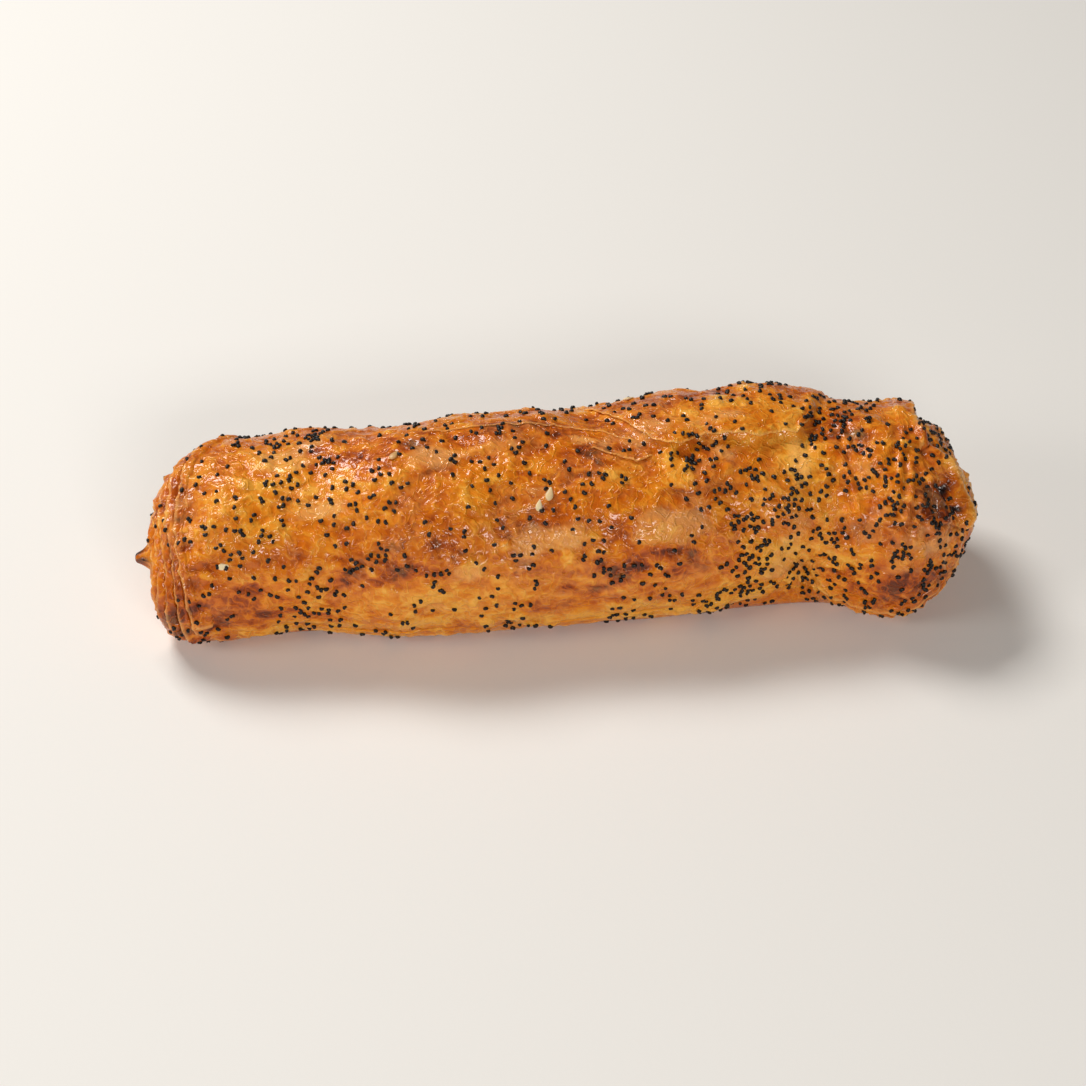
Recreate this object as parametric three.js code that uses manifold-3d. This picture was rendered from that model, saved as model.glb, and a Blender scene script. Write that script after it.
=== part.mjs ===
// A rolled borek: sheets of thin filo dough wound round a filling into one baked log, pinched into a
// round knob at its right end, folded shut in layers at its left end, and strewn with poppy seeds and
// a few sesame seeds. It is one solid, with the seeds fused to the crust they are baked on.
// Millimetres, +Z up, +X along the roll from its folded end to its pinched end, -Y to the front.

import * as THREE from "three";
import { mergeVertices } from "three/addons/utils/BufferGeometryUtils.js";
import Module from "manifold-3d";

// ---- Driving dimensions ----
const ROLL_WIDTH = 50.5;
const ROLL_HEIGHT = 42;
const LEFT_DOME_START = -72;
const LEFT_DOME_LENGTH = 20;
const RIGHT_DOME_START = 73;
const RIGHT_DOME_LENGTH = 22.5;

// The loose flap of the outer sheet on the back and top. Its free edge climbs over the top of the roll.
const FLAP = { lift: 3.1, rise: [4, 30], fall: [44, 76] };
const FLAP_EDGE = { lowAngle: 28, climbAngle: 74, climb: [-4, 26], sink: [54, 70], step: [-0.12, 0.16] };
const FLAP_FADE = [-0.7, 0.5];

// The pinch that parts the knob from the roll. It slants, is shallow on the back, and is deepest low on
// the front. Its shares are parts of the full depth.
const NECK = { at: 61.5, slant: 8, slantAngle: 50, depth: 1.7, spread: 5.5 };
const NECK_SHARES = { back: 0.25, front: 0.5, pinch: 0.8, frontFrom: [100, 190], frontTo: [300, 350] };
const PINCH = { angle: 206, angleSpread: 0.56 };

// Pleats that run along the knob and fan out of the pinch.
const PLEATS = { height: 0.55, count: 11, start: [56, 66], end: [84, 93] };

// The dough's overlapped edges round a closed end. Each outer sheet drops in a step to the one under it.
const LAYERS = { step: 1.2, pitch: 3.6, fall: 0.4, knobShare: 0.35 };

// The rolled rim of dough that slants over the knob's tip, and the scorched pocket in front of it.
const RIM = { height: 1.5, spread: 2.2, start: [76, 92], end: [156, 174] };
const RIM_SLANT = { from: 9.9, by: 8.9, over: [88, 150] };
const POCKET = { depth: 2.4, spread: 2.0, ahead: 2.6, angle: 135, angleSpread: 0.3 };

// The outermost sheet's corner over the top of the knob, a step above the sheets under it. The sheet
// reaches further along the roll towards the back.
const EAR = { lift: 0.7, rise: [2, 7], drop: 2.2, fall: [9.4, 12.4], start: [20, 45], end: [98, 112] };
const EAR_REACH = { by: 3.2, over: [34, 84] };

// The nub of twisted dough that sticks out of the folded end.
const NUB = { length: 4.8, spread: 3.4 };

// Where relief fades: near the tray, and near the poles of the two ends.
const TRAY_FADE = [0.2, 5];
const POLE_FADE = [1, 8];

// The roll's sections from left to right: sideways offset in mm, and share of the full width and height.
const SECTIONS = [
  { x: -96, offset: -0.4, width: 0.87, height: 0.9 },
  { x: -80, offset: 0.8, width: 0.9, height: 0.93 },
  { x: -55, offset: 2.4, width: 0.93, height: 0.95 },
  { x: -36, offset: 0.0, width: 1.0, height: 1.0 },
  { x: -5, offset: 1.6, width: 1.0, height: 1.01 },
  { x: 20, offset: 1.8, width: 1.0, height: 1.01 },
  { x: 45, offset: 3.8, width: 0.98, height: 1.0 },
  { x: 62, offset: 3.2, width: 0.95, height: 1.0 },
  { x: 75, offset: -0.6, width: 1.02, height: 1.0 },
  { x: 96, offset: 0.5, width: 0.96, height: 0.96 },
];

// How far the underside sags below a round section before the baking tray cuts it flat.
const UNDERSIDE_SAG = 1.22;
const UNDERSIDE_FULLNESS = 0.8;

// ---- Mesh density ----
const AROUND = 46;
const BODY_RINGS = 35;
const DOME_RINGS = 13;
const LAST_RING = 2 * DOME_RINGS + BODY_RINGS;

// ---- Seeds ----
const POPPY_COUNT = 176;
const POPPY_HALF = [0.68, 0.52, 0.5];
const SESAME_HALF = [1.75, 1.0, 0.5];
const SEED_SUNK = 0.3;
const SEED_SIDES = 5;
const SEED_RANDOM_START = 2024;
const SEED_TRIES = 24;
const LOWEST_SEED = 2;
// Each sesame seed by its place along the roll, its angle round it and its turn on the crust, in degrees.
const SESAMES = [
  { x: -76, angle: 158, turn: 5 },
  { x: -37, angle: 97, turn: 60 },
  { x: -3, angle: 127, turn: 75 },
  { x: -5.5, angle: 133, turn: 80 },
  { x: 18, angle: 52, turn: 20 },
  { x: 41, angle: 20, turn: 120 },
  { x: -24, angle: 30, turn: 150 },
];

const wasm = await Module();
wasm.setup();

const radians = THREE.MathUtils.degToRad;
const clamp = THREE.MathUtils.clamp;
const smooth = THREE.MathUtils.smoothstep;
const bump = (distance, spread) => Math.exp(-((distance / spread) ** 2));
const turnBetween = (angle, other) =>
  THREE.MathUtils.euclideanModulo(angle - other + Math.PI, 2 * Math.PI) - Math.PI;
const bumpAt = (angle, degrees, spread) => bump(turnBetween(angle, radians(degrees)), spread);
const smoothAt = (angle, [from, to]) => smooth(angle, radians(from), radians(to));

// The value of one section property at a place along the roll, on a smooth curve through the sections.
function sectionValue(x, key) {
  const last = SECTIONS.length - 1;
  const found = SECTIONS.findIndex((section) => section.x > x);
  const i = clamp(found < 0 ? last - 1 : found - 1, 0, last - 1);
  const [before, from, to, after] = [i - 1, i, i + 1, i + 2].map((n) => SECTIONS[clamp(n, 0, last)]);
  const span = to.x - from.x;
  const s = clamp((x - from.x) / span, 0, 1);
  const slopeFrom = ((to[key] - before[key]) / (to.x - before.x)) * span;
  const slopeTo = ((after[key] - from[key]) / (after.x - from.x)) * span;
  const [s2, s3] = [s * s, s * s * s];
  return (
    from[key] * (2 * s3 - 3 * s2 + 1) + slopeFrom * (s3 - 2 * s2 + s) +
    to[key] * (3 * s2 - 2 * s3) + slopeTo * (s3 - s2)
  );
}

// A point of the plain section: an ellipse whose underside is fuller, and cut flat by the tray.
// The angle runs from the back (0) over the top (90) to the front (180).
function sectionPoint(x, angle) {
  const halfWidth = (ROLL_WIDTH / 2) * sectionValue(x, "width");
  const halfHeight = (ROLL_HEIGHT / 2) * sectionValue(x, "height");
  const [across, up] = [Math.cos(angle), Math.sin(angle)];
  const below = up < 0;
  const fullAcross = below ? Math.sign(across) * Math.abs(across) ** UNDERSIDE_FULLNESS : across;
  const y = sectionValue(x, "offset") + halfWidth * fullAcross;
  const z = halfHeight * (1 + up * (below ? UNDERSIDE_SAG : 1));
  return new THREE.Vector3(x, y, Math.max(0, z));
}

// ---- Relief: how far the crust stands out of the plain roll, in mm ----

function flapEdge(x) {
  const climb = smooth(x, ...FLAP_EDGE.climb) * (1 - smooth(x, ...FLAP_EDGE.sink));
  return radians(FLAP_EDGE.lowAngle + FLAP_EDGE.climbAngle * climb);
}

// Angles past straight down count back from the back of the roll, so that the flap fades out below it.
function flapRelief(x, angle) {
  const fromBack = angle > radians(270) ? angle - 2 * Math.PI : angle;
  const along = smooth(x, ...FLAP.rise) * (1 - smooth(x, ...FLAP.fall));
  const inside = smooth(flapEdge(x) - fromBack, ...FLAP_EDGE.step);
  return FLAP.lift * along * inside * smooth(fromBack, ...FLAP_FADE);
}

function neckRelief(x, angle) {
  const middle = NECK.at + NECK.slant * Math.cos(angle - radians(NECK.slantAngle));
  const front = smoothAt(angle, NECK_SHARES.frontFrom) * (1 - smoothAt(angle, NECK_SHARES.frontTo));
  const pinch = bumpAt(angle, PINCH.angle, PINCH.angleSpread);
  const depth = NECK.depth * (NECK_SHARES.back + NECK_SHARES.front * front + NECK_SHARES.pinch * pinch);
  const spread = NECK.spread * (x < middle ? 1.3 : 0.8);
  return -depth * bump(x - middle, spread);
}

function pleatRelief(x, angle) {
  const reach = smooth(x, ...PLEATS.start) * (1 - smooth(x, ...PLEATS.end));
  const wander = 0.35 * Math.sin(x * 0.33) + 0.2 * Math.sin(x * 0.71 + 1.3);
  const unevenness = 0.6 + 0.4 * Math.sin(3 * angle + 1);
  return PLEATS.height * reach * unevenness * Math.sin(PLEATS.count * (angle + wander));
}

// Long soft swells where the filling pushes the dough out.
const SWELLS = [
  { size: 0.35, along: 0.09, around: 2, phase: 0.4 },
  { size: 0.3, along: -0.16, around: 3, phase: 2.1 },
  { size: 0.22, along: 0.24, around: 4, phase: 4.0 },
  { size: 0.14, along: -0.37, around: 5, phase: 1.2 },
];

function swellRelief(x, angle) {
  return SWELLS.reduce((sum, s) => sum + s.size * Math.sin(s.along * x + s.around * angle + s.phase), 0);
}

function layerRelief(depth, angle) {
  const wander = 0.5 * Math.sin(2 * angle + 0.6) + 0.35 * Math.sin(5 * angle + 2);
  const step = (depth + wander) / LAYERS.pitch;
  const rise = step - Math.floor(step);
  return LAYERS.step * (rise - smooth(rise, 1 - LAYERS.fall, 1));
}

function rimRelief(depth, angle) {
  const rimDepth = RIM_SLANT.from + RIM_SLANT.by * smoothAt(angle, RIM_SLANT.over);
  const within = smoothAt(angle, RIM.start) * (1 - smoothAt(angle, RIM.end));
  const rim = RIM.height * bump(depth - rimDepth, RIM.spread) * within;
  const ahead = bump(depth - rimDepth + POCKET.ahead, POCKET.spread);
  return rim - POCKET.depth * ahead * bumpAt(angle, POCKET.angle, POCKET.angleSpread);
}

function earRelief(depth, angle) {
  const within = smoothAt(angle, EAR.start) * (1 - smoothAt(angle, EAR.end));
  const reach = EAR_REACH.by * (1 - smoothAt(angle, EAR_REACH.over));
  const drop = EAR.drop * smooth(depth - reach, ...EAR.fall);
  return within * (EAR.lift * smooth(depth, ...EAR.rise) - drop);
}

// ---- The crust surface ----

// A point of the plain roll with its two domed ends. Rings are numbered from 0 at the left pole to
// LAST_RING at the right pole. Depth is how far the point lies into a dome, or 0 on the body.
function plainPoint(ring, angle) {
  const inLeft = ring < DOME_RINGS;
  const inRight = ring > DOME_RINGS + BODY_RINGS;
  if (!inLeft && !inRight) {
    const x = THREE.MathUtils.lerp(LEFT_DOME_START, RIGHT_DOME_START, (ring - DOME_RINGS) / BODY_RINGS);
    return { point: sectionPoint(x, angle), depth: 0 };
  }
  const dome = inLeft ? LEFT_DOME : RIGHT_DOME;
  const fromPole = inLeft ? ring : LAST_RING - ring;
  const turn = (fromPole / DOME_RINGS) * (Math.PI / 2);
  const squareness = dome.squareness(angle);
  const shrink = Math.sin(turn) ** (2 / squareness);
  const depth = dome.length * Math.cos(turn) ** (2 / squareness);
  const x = dome.start + dome.direction * depth;
  const point = sectionPoint(x, angle);
  point.y = dome.pole.y + (point.y - dome.pole.y) * shrink;
  point.z = dome.pole.z + (point.z - dome.pole.z) * shrink;
  return { point, depth };
}

// The left end is nearly square low on the front and slopes far back over the top. The right end is
// round, with a corner on the back of its top.
const LEFT_DOME = {
  start: LEFT_DOME_START,
  length: LEFT_DOME_LENGTH,
  direction: -1,
  pole: { y: -7, z: 20 },
  squareness: (angle) => 2.1 + 3.0 * bumpAt(angle, 236, 0.8) + 0.25 * bumpAt(angle, 50, 0.7),
};
const RIGHT_DOME = {
  start: RIGHT_DOME_START,
  length: RIGHT_DOME_LENGTH,
  direction: 1,
  pole: { y: 2, z: 22 },
  squareness: (angle) => 2.35 + 0.45 * bumpAt(angle, 58, 0.38) - 0.25 * bumpAt(angle, 118, 0.42),
};

// A point of the crust: the plain roll with its relief.
function crustPoint(ring, angle) {
  const { point, depth } = plainPoint(ring, angle);
  const step = 0.01;
  const alongFrom = plainPoint(Math.max(ring - step, 0), angle).point;
  const alongTo = plainPoint(Math.min(ring + step, LAST_RING), angle).point;
  const roundFrom = plainPoint(ring, angle - step).point;
  const roundTo = plainPoint(ring, angle + step).point;
  const normal = roundTo.sub(roundFrom).cross(alongTo.sub(alongFrom)).normalize();
  const left = point.x < 0;
  const dome = left ? LEFT_DOME : RIGHT_DOME;
  const inward = Math.hypot(point.y - dome.pole.y, point.z - dome.pole.z);
  let relief = flapRelief(point.x, angle) + neckRelief(point.x, angle) + pleatRelief(point.x, angle);
  relief += swellRelief(point.x, angle);
  if (depth > 0) relief += layerRelief(depth, angle) * (left ? 1 : LAYERS.knobShare);
  if (depth > 0 && !left) relief += rimRelief(depth, angle) + earRelief(depth, angle);
  relief *= smooth(point.z, ...TRAY_FADE);
  if (depth > 0) relief *= smooth(inward, ...POLE_FADE);
  point.addScaledVector(normal, relief);
  if (left) point.x -= NUB.length * bump(inward, NUB.spread);
  point.z = Math.max(0, point.z);
  return point;
}

// The crust as rings of points between its two poles.
const ringPoints = Array.from({ length: LAST_RING + 1 }, (_, ring) =>
  Array.from({ length: AROUND }, (_, k) => crustPoint(ring, (k / AROUND) * 2 * Math.PI)),
);

// The crust as one closed mesh.
function crustGeometry() {
  const points = [ringPoints[0][0], ...ringPoints.slice(1, LAST_RING).flat(), ringPoints[LAST_RING][0]];
  const rightPole = points.length - 1;
  const at = (ring, k) => 1 + (ring - 1) * AROUND + (k % AROUND);
  const faces = [];
  for (let k = 0; k < AROUND; k += 1) {
    faces.push(0, at(1, k + 1), at(1, k));
    faces.push(rightPole, at(LAST_RING - 1, k), at(LAST_RING - 1, k + 1));
    for (let ring = 1; ring < LAST_RING - 1; ring += 1) {
      faces.push(at(ring, k), at(ring, k + 1), at(ring + 1, k));
      faces.push(at(ring, k + 1), at(ring + 1, k + 1), at(ring + 1, k));
    }
  }
  return new THREE.BufferGeometry().setFromPoints(points).setIndex(faces);
}

// The point of the faceted crust at a ring number and an angle, with its facet's normal.
function facetAt(ring, angle) {
  const column = THREE.MathUtils.euclideanModulo((angle / (2 * Math.PI)) * AROUND, AROUND);
  const [i, k] = [Math.floor(ring), Math.floor(column)];
  const [s, t] = [ring - i, column - k];
  const corner = (di, dk) => ringPoints[i + di][(k + dk) % AROUND];
  const near = s + t < 1;
  const origin = near ? corner(0, 0) : corner(1, 1);
  const round = corner(near ? 0 : 1, 1).clone().sub(corner(near ? 0 : 1, 0));
  const along = corner(1, near ? 0 : 1).clone().sub(corner(0, near ? 0 : 1));
  const [forward, sideways] = near ? [s, t] : [s - 1, t - 1];
  const point = origin.clone().addScaledVector(along, forward).addScaledVector(round, sideways);
  return { point, along: along.clone().normalize(), normal: round.cross(along).normalize() };
}

// ---- Solids ----

function solidFrom(geometry) {
  const bare = geometry.clone();
  bare.deleteAttribute("normal");
  bare.deleteAttribute("uv");
  const merged = mergeVertices(bare, 1e-4);
  const mesh = new wasm.Mesh({
    numProp: 3,
    vertProperties: new Float32Array(merged.attributes.position.array),
    triVerts: new Uint32Array(merged.index.array),
  });
  return new wasm.Manifold(mesh);
}

function geometryFrom(solid) {
  const mesh = solid.getMesh();
  const geometry = new THREE.BufferGeometry();
  geometry.setAttribute("position", new THREE.BufferAttribute(mesh.vertProperties, 3));
  geometry.setIndex(new THREE.BufferAttribute(mesh.triVerts, 1));
  geometry.computeVertexNormals();
  return geometry;
}

// ---- Seeds ----

// A repeatable random number between 0 and 1.
let randomState = SEED_RANDOM_START;
function random() {
  randomState = (randomState * 1664525 + 1013904223) % 4294967296;
  return randomState / 4294967296;
}

// The ring number of a place on the body or just off it, so that seeds can be set by millimetres.
function ringAt(x) {
  const share = (x - LEFT_DOME_START) / (RIGHT_DOME_START - LEFT_DOME_START);
  return DOME_RINGS + share * BODY_RINGS;
}

// A seed: a small faceted bean, laid flat on the crust and sunk a little into it.
function seedSolid({ point, along, normal }, half, turn) {
  const across = normal.clone().cross(along).normalize();
  const lengthwise = along.clone().multiplyScalar(Math.cos(turn)).addScaledVector(across, Math.sin(turn));
  const sideways = normal.clone().cross(lengthwise).normalize();
  const frame = new THREE.Matrix4().makeBasis(lengthwise, sideways, normal);
  frame.setPosition(point.clone().addScaledVector(normal, half[2] * (1 - 2 * SEED_SUNK)));
  const seed = new THREE.SphereGeometry(1, SEED_SIDES, 3).rotateX(Math.PI / 2);
  return solidFrom(seed.scale(...half).applyMatrix4(frame));
}

// How thickly the seeds lie at a place: sparse on the left, thick on the knob, none underneath.
function seedShare(x, angle) {
  const along = 0.3 + 0.7 * smooth(x, -60, 70);
  const low = smooth(Math.sin(angle), -0.75, -0.1);
  return along * low;
}

// Places for the poppy seeds. Of several random tries, each seed takes the one furthest from the others
// for how thickly seeds lie there, which spreads them evenly.
function poppyPlaces() {
  const places = [];
  while (places.length < POPPY_COUNT) {
    let best = null;
    for (let n = 0; n < SEED_TRIES; n += 1) {
      const angle = radians(THREE.MathUtils.lerp(-35, 232, random()));
      const place = facetAt(THREE.MathUtils.lerp(3, LAST_RING - 3, random()), angle);
      const nearest = places.reduce((least, p) => Math.min(least, p.point.distanceTo(place.point)), 1e3);
      const score = nearest * Math.sqrt(seedShare(place.point.x, angle));
      if (place.point.z > LOWEST_SEED && (!best || score > best.score)) best = { ...place, score };
    }
    if (best) places.push(best);
  }
  return places;
}

// ---- The roll ----

function seededCrust() {
  let solid = solidFrom(crustGeometry());
  for (const { x, angle, turn } of SESAMES) {
    solid = solid.add(seedSolid(facetAt(ringAt(x), radians(angle)), SESAME_HALF, radians(turn)));
  }
  for (const place of poppyPlaces()) {
    solid = solid.add(seedSolid(place, POPPY_HALF, random() * Math.PI));
  }
  return solid;
}

const crustMaterial = new THREE.MeshStandardMaterial({ color: 0xc8812e, roughness: 0.42, metalness: 0 });
const roll = new THREE.Mesh(geometryFrom(seededCrust()), crustMaterial);
roll.name = "borek_roll";

// The origin is in the middle of the roll's footprint, on the surface it lies on.
roll.geometry.computeBoundingBox();
const middle = roll.geometry.boundingBox.getCenter(new THREE.Vector3());
roll.position.set(-middle.x, -middle.y, 0);

const borek = new THREE.Group();
borek.name = "borek";
borek.add(roll);

export default borek;
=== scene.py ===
"""Looks of a baked rolled borek: egg-washed filo dough strewn with poppy seeds and sesame seeds.

The roll is worked out in millimetres in its own frame, +X from the folded end to the pinched knob and -Y
to the front, and is then set onto the CAD solid that it stands for. Angles round the roll run from the
back (0) over the top (90) to the front (180). They are written down in degrees, and handed to functions in
radians.
"""

import logging
import math
from collections.abc import Callable
from dataclasses import dataclass
from enum import Enum, IntEnum

import bpy
import numpy as np
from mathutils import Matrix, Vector
from mathutils.bvhtree import BVHTree


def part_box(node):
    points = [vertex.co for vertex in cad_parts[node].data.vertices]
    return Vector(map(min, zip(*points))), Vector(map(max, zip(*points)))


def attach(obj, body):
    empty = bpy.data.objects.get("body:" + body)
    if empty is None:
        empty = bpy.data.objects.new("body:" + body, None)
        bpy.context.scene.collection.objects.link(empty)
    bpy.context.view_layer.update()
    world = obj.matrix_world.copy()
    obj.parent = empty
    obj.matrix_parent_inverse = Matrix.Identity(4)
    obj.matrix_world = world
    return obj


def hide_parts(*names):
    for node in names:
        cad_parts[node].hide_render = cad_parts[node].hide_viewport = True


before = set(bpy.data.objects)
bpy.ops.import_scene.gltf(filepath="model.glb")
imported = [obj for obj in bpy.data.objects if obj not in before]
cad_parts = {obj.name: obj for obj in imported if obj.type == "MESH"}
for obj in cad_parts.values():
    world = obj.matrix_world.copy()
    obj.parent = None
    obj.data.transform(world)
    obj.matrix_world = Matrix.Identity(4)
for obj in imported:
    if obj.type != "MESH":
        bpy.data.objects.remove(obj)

LOG = logging.getLogger("borek")
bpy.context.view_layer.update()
NODE = "borek_roll"
BODY = "root"
MM = 0.001

Span = tuple[float, float]
Stretch = tuple[Span, Span]
Triples = tuple[tuple[float, float, float], ...]
Faces = list[tuple[int, ...]]
Line = Callable[[np.ndarray], tuple[np.ndarray, np.ndarray]]


# ---- Small mathematics ----

def smooth(value: np.ndarray, low: float, high: float) -> np.ndarray:
    """Rise smoothly from 0 at low to 1 at high.

    Args:
        value: The numbers to map.
        low: Where the rise starts.
        high: Where the rise ends.

    Returns:
        Numbers from 0 to 1.
    """
    share = np.clip((value - low) / (high - low), 0, 1)
    return share * share * (3 - 2 * share)


def between(value: np.ndarray, rise: Span, fall: Span) -> np.ndarray:
    """Rise smoothly from 0 to 1 over one span, and fall back to 0 over another."""
    return smooth(value, *rise) * (1 - smooth(value, *fall))


def bump(distance: np.ndarray, spread: float = 1.0) -> np.ndarray:
    """Return a bell that is 1 at distance 0 and fades out past spread."""
    return np.exp(-((distance / spread) ** 2))


def ripple(place: np.ndarray, waves: Triples) -> np.ndarray:
    """Return the sum of sine waves, each given by its size, its radians to the unit and its phase."""
    return sum(size * np.sin(pace * place + phase) for size, pace, phase in waves)


def degrees_apart(angle: np.ndarray, degrees: float | np.ndarray) -> np.ndarray:
    """Return the shortest way round, in degrees, from an angle in radians to one in degrees."""
    return (np.degrees(angle) - degrees + 180) % 360 - 180


def unit(vectors: np.ndarray) -> np.ndarray:
    """Return the vectors at length 1."""
    return vectors / np.maximum(np.linalg.norm(vectors, axis=-1, keepdims=True), 1e-9)


class Salt(IntEnum):
    """The noise pattern that each use of noise has for itself."""

    BLISTERS = 31
    BLISTER_SIZES = 33
    BLISTER_CHANCES = 34
    UNEVENNESS = 51
    GRAIN = 55
    WIDE_MOTTLE = 61
    NARROW_MOTTLE = 66
    FACET_WARP = 90


class Noise:
    """Repeatable noise over space, made from whole-number hashes."""

    AXIS_PRIMES = (73856093, 19349663, 83492791)
    SALT_PRIME = 26544357
    MIXERS = ((13, 1274126177), (15, 1103515245))
    LAST_SHIFT = 16
    WORD = 0xFFFFFFFF
    FRACTION = 0xFFFFFF
    OCTAVE_SALT = 17
    STRENGTH = 1.6
    FAR = 9.0

    @classmethod
    def chance(cls, cell: np.ndarray, salt: int) -> np.ndarray:
        """Give each lattice cell a fixed random number.

        Args:
            cell: Whole-number cells, N by 3.
            salt: Picks one of many independent sets of numbers.

        Returns:
            Numbers from 0 to 1.
        """
        x, y, z = (cell[:, axis].astype(np.int64) * prime for axis, prime in enumerate(cls.AXIS_PRIMES))
        mixed = (x ^ y ^ z ^ (salt * cls.SALT_PRIME)) & cls.WORD
        for shift, factor in cls.MIXERS:
            mixed = ((mixed ^ (mixed >> shift)) * factor) & cls.WORD
        return ((mixed ^ (mixed >> cls.LAST_SHIFT)) & cls.FRACTION) / cls.FRACTION

    @classmethod
    def triple(cls, cell: np.ndarray, salt: int) -> np.ndarray:
        """Give each lattice cell three fixed random numbers, N by 3."""
        return np.stack([cls.chance(cell, salt + k) for k in range(3)], 1)

    @classmethod
    def waves(cls, points: np.ndarray, salt: int) -> np.ndarray:
        """Return gradient noise with features one unit across.

        Args:
            points: Places, N by 3, in units of the wanted feature size.
            salt: Picks one of many independent patterns.

        Returns:
            Numbers from about -1 to 1.
        """
        base = np.floor(points).astype(np.int64)
        inside = points - base
        fade = inside ** 3 * (inside * (inside * 6 - 15) + 10)
        total = np.zeros(len(points))
        for corner in np.ndindex(2, 2, 2):
            slopes = cls.triple(base + np.array(corner), salt * 3) * 2 - 1
            height = (slopes * (inside - corner)).sum(1)
            total += np.where(np.array(corner) == 1, fade, 1 - fade).prod(1) * height
        return total * cls.STRENGTH

    @classmethod
    def layered(cls, points: np.ndarray, salt: int, octaves: int = 3) -> np.ndarray:
        """Return noise with finer and finer detail added, from about -1 to 1."""
        rows = [cls.waves(points * 2 ** n, salt + cls.OCTAVE_SALT * n) * 0.5 ** n for n in range(octaves)]
        return sum(rows) / sum(0.5 ** n for n in range(octaves))

    @classmethod
    def shifts(cls, points: np.ndarray, salt: int) -> np.ndarray:
        """Return three noises at once, to warp a pattern with."""
        return np.stack([cls.waves(points, salt + k) for k in range(3)], 1)

    @classmethod
    def cells(cls, points: np.ndarray, salt: int) -> tuple[np.ndarray, np.ndarray, np.ndarray, np.ndarray]:
        """Split space into uneven cells round random centres.

        Args:
            points: Places, N by 3, in units of the wanted cell size.
            salt: Picks one of many independent patterns.

        Returns:
            The distance to the nearest centre, the distance to the next, the way from the nearest centre
            to the point, and the nearest centre's lattice cell.
        """
        base = np.floor(points).astype(np.int64)
        first = np.full(len(points), cls.FAR)
        second = first.copy()
        away = np.zeros_like(points)
        owner = base.copy()
        for corner in np.ndindex(3, 3, 3):
            cell = base + np.array(corner) - 1
            centre = cell + cls.triple(cell, salt * 3)
            distance = np.linalg.norm(points - centre, axis=1)
            nearer = distance < first
            second = np.where(nearer, first, np.minimum(second, distance))
            first = np.where(nearer, distance, first)
            away[nearer] = (points - centre)[nearer]
            owner[nearer] = cell[nearer]
        return first, second, away, owner


# ---- The plain roll, in millimetres ----

class End(Enum):
    """The roll's two closed ends, by the way each one faces along the roll."""

    FOLDED = -1
    PINCHED = 1


@dataclass(frozen=True)
class Section:
    """One section of the roll: its place, its sideways offset, and its share of the full size."""

    x: float
    offset: float
    width: float
    height: float


@dataclass(frozen=True)
class Dome:
    """One closed end of the roll, from where the straight body stops to its pole.

    Each corner makes the dome squarer, or rounder where it is below 0, by a number, round an angle, over a
    spread in degrees.
    """

    end: End
    start: float
    length: float
    pole: Span
    plainness: float
    corners: Triples

    def squareness(self, angle: np.ndarray) -> np.ndarray:
        """Return how square the dome is at each angle: 2 is round, and more is squarer."""
        corners = (more * bump(degrees_apart(angle, at), spread) for more, at, spread in self.corners)
        return self.plainness + sum(corners)


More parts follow.
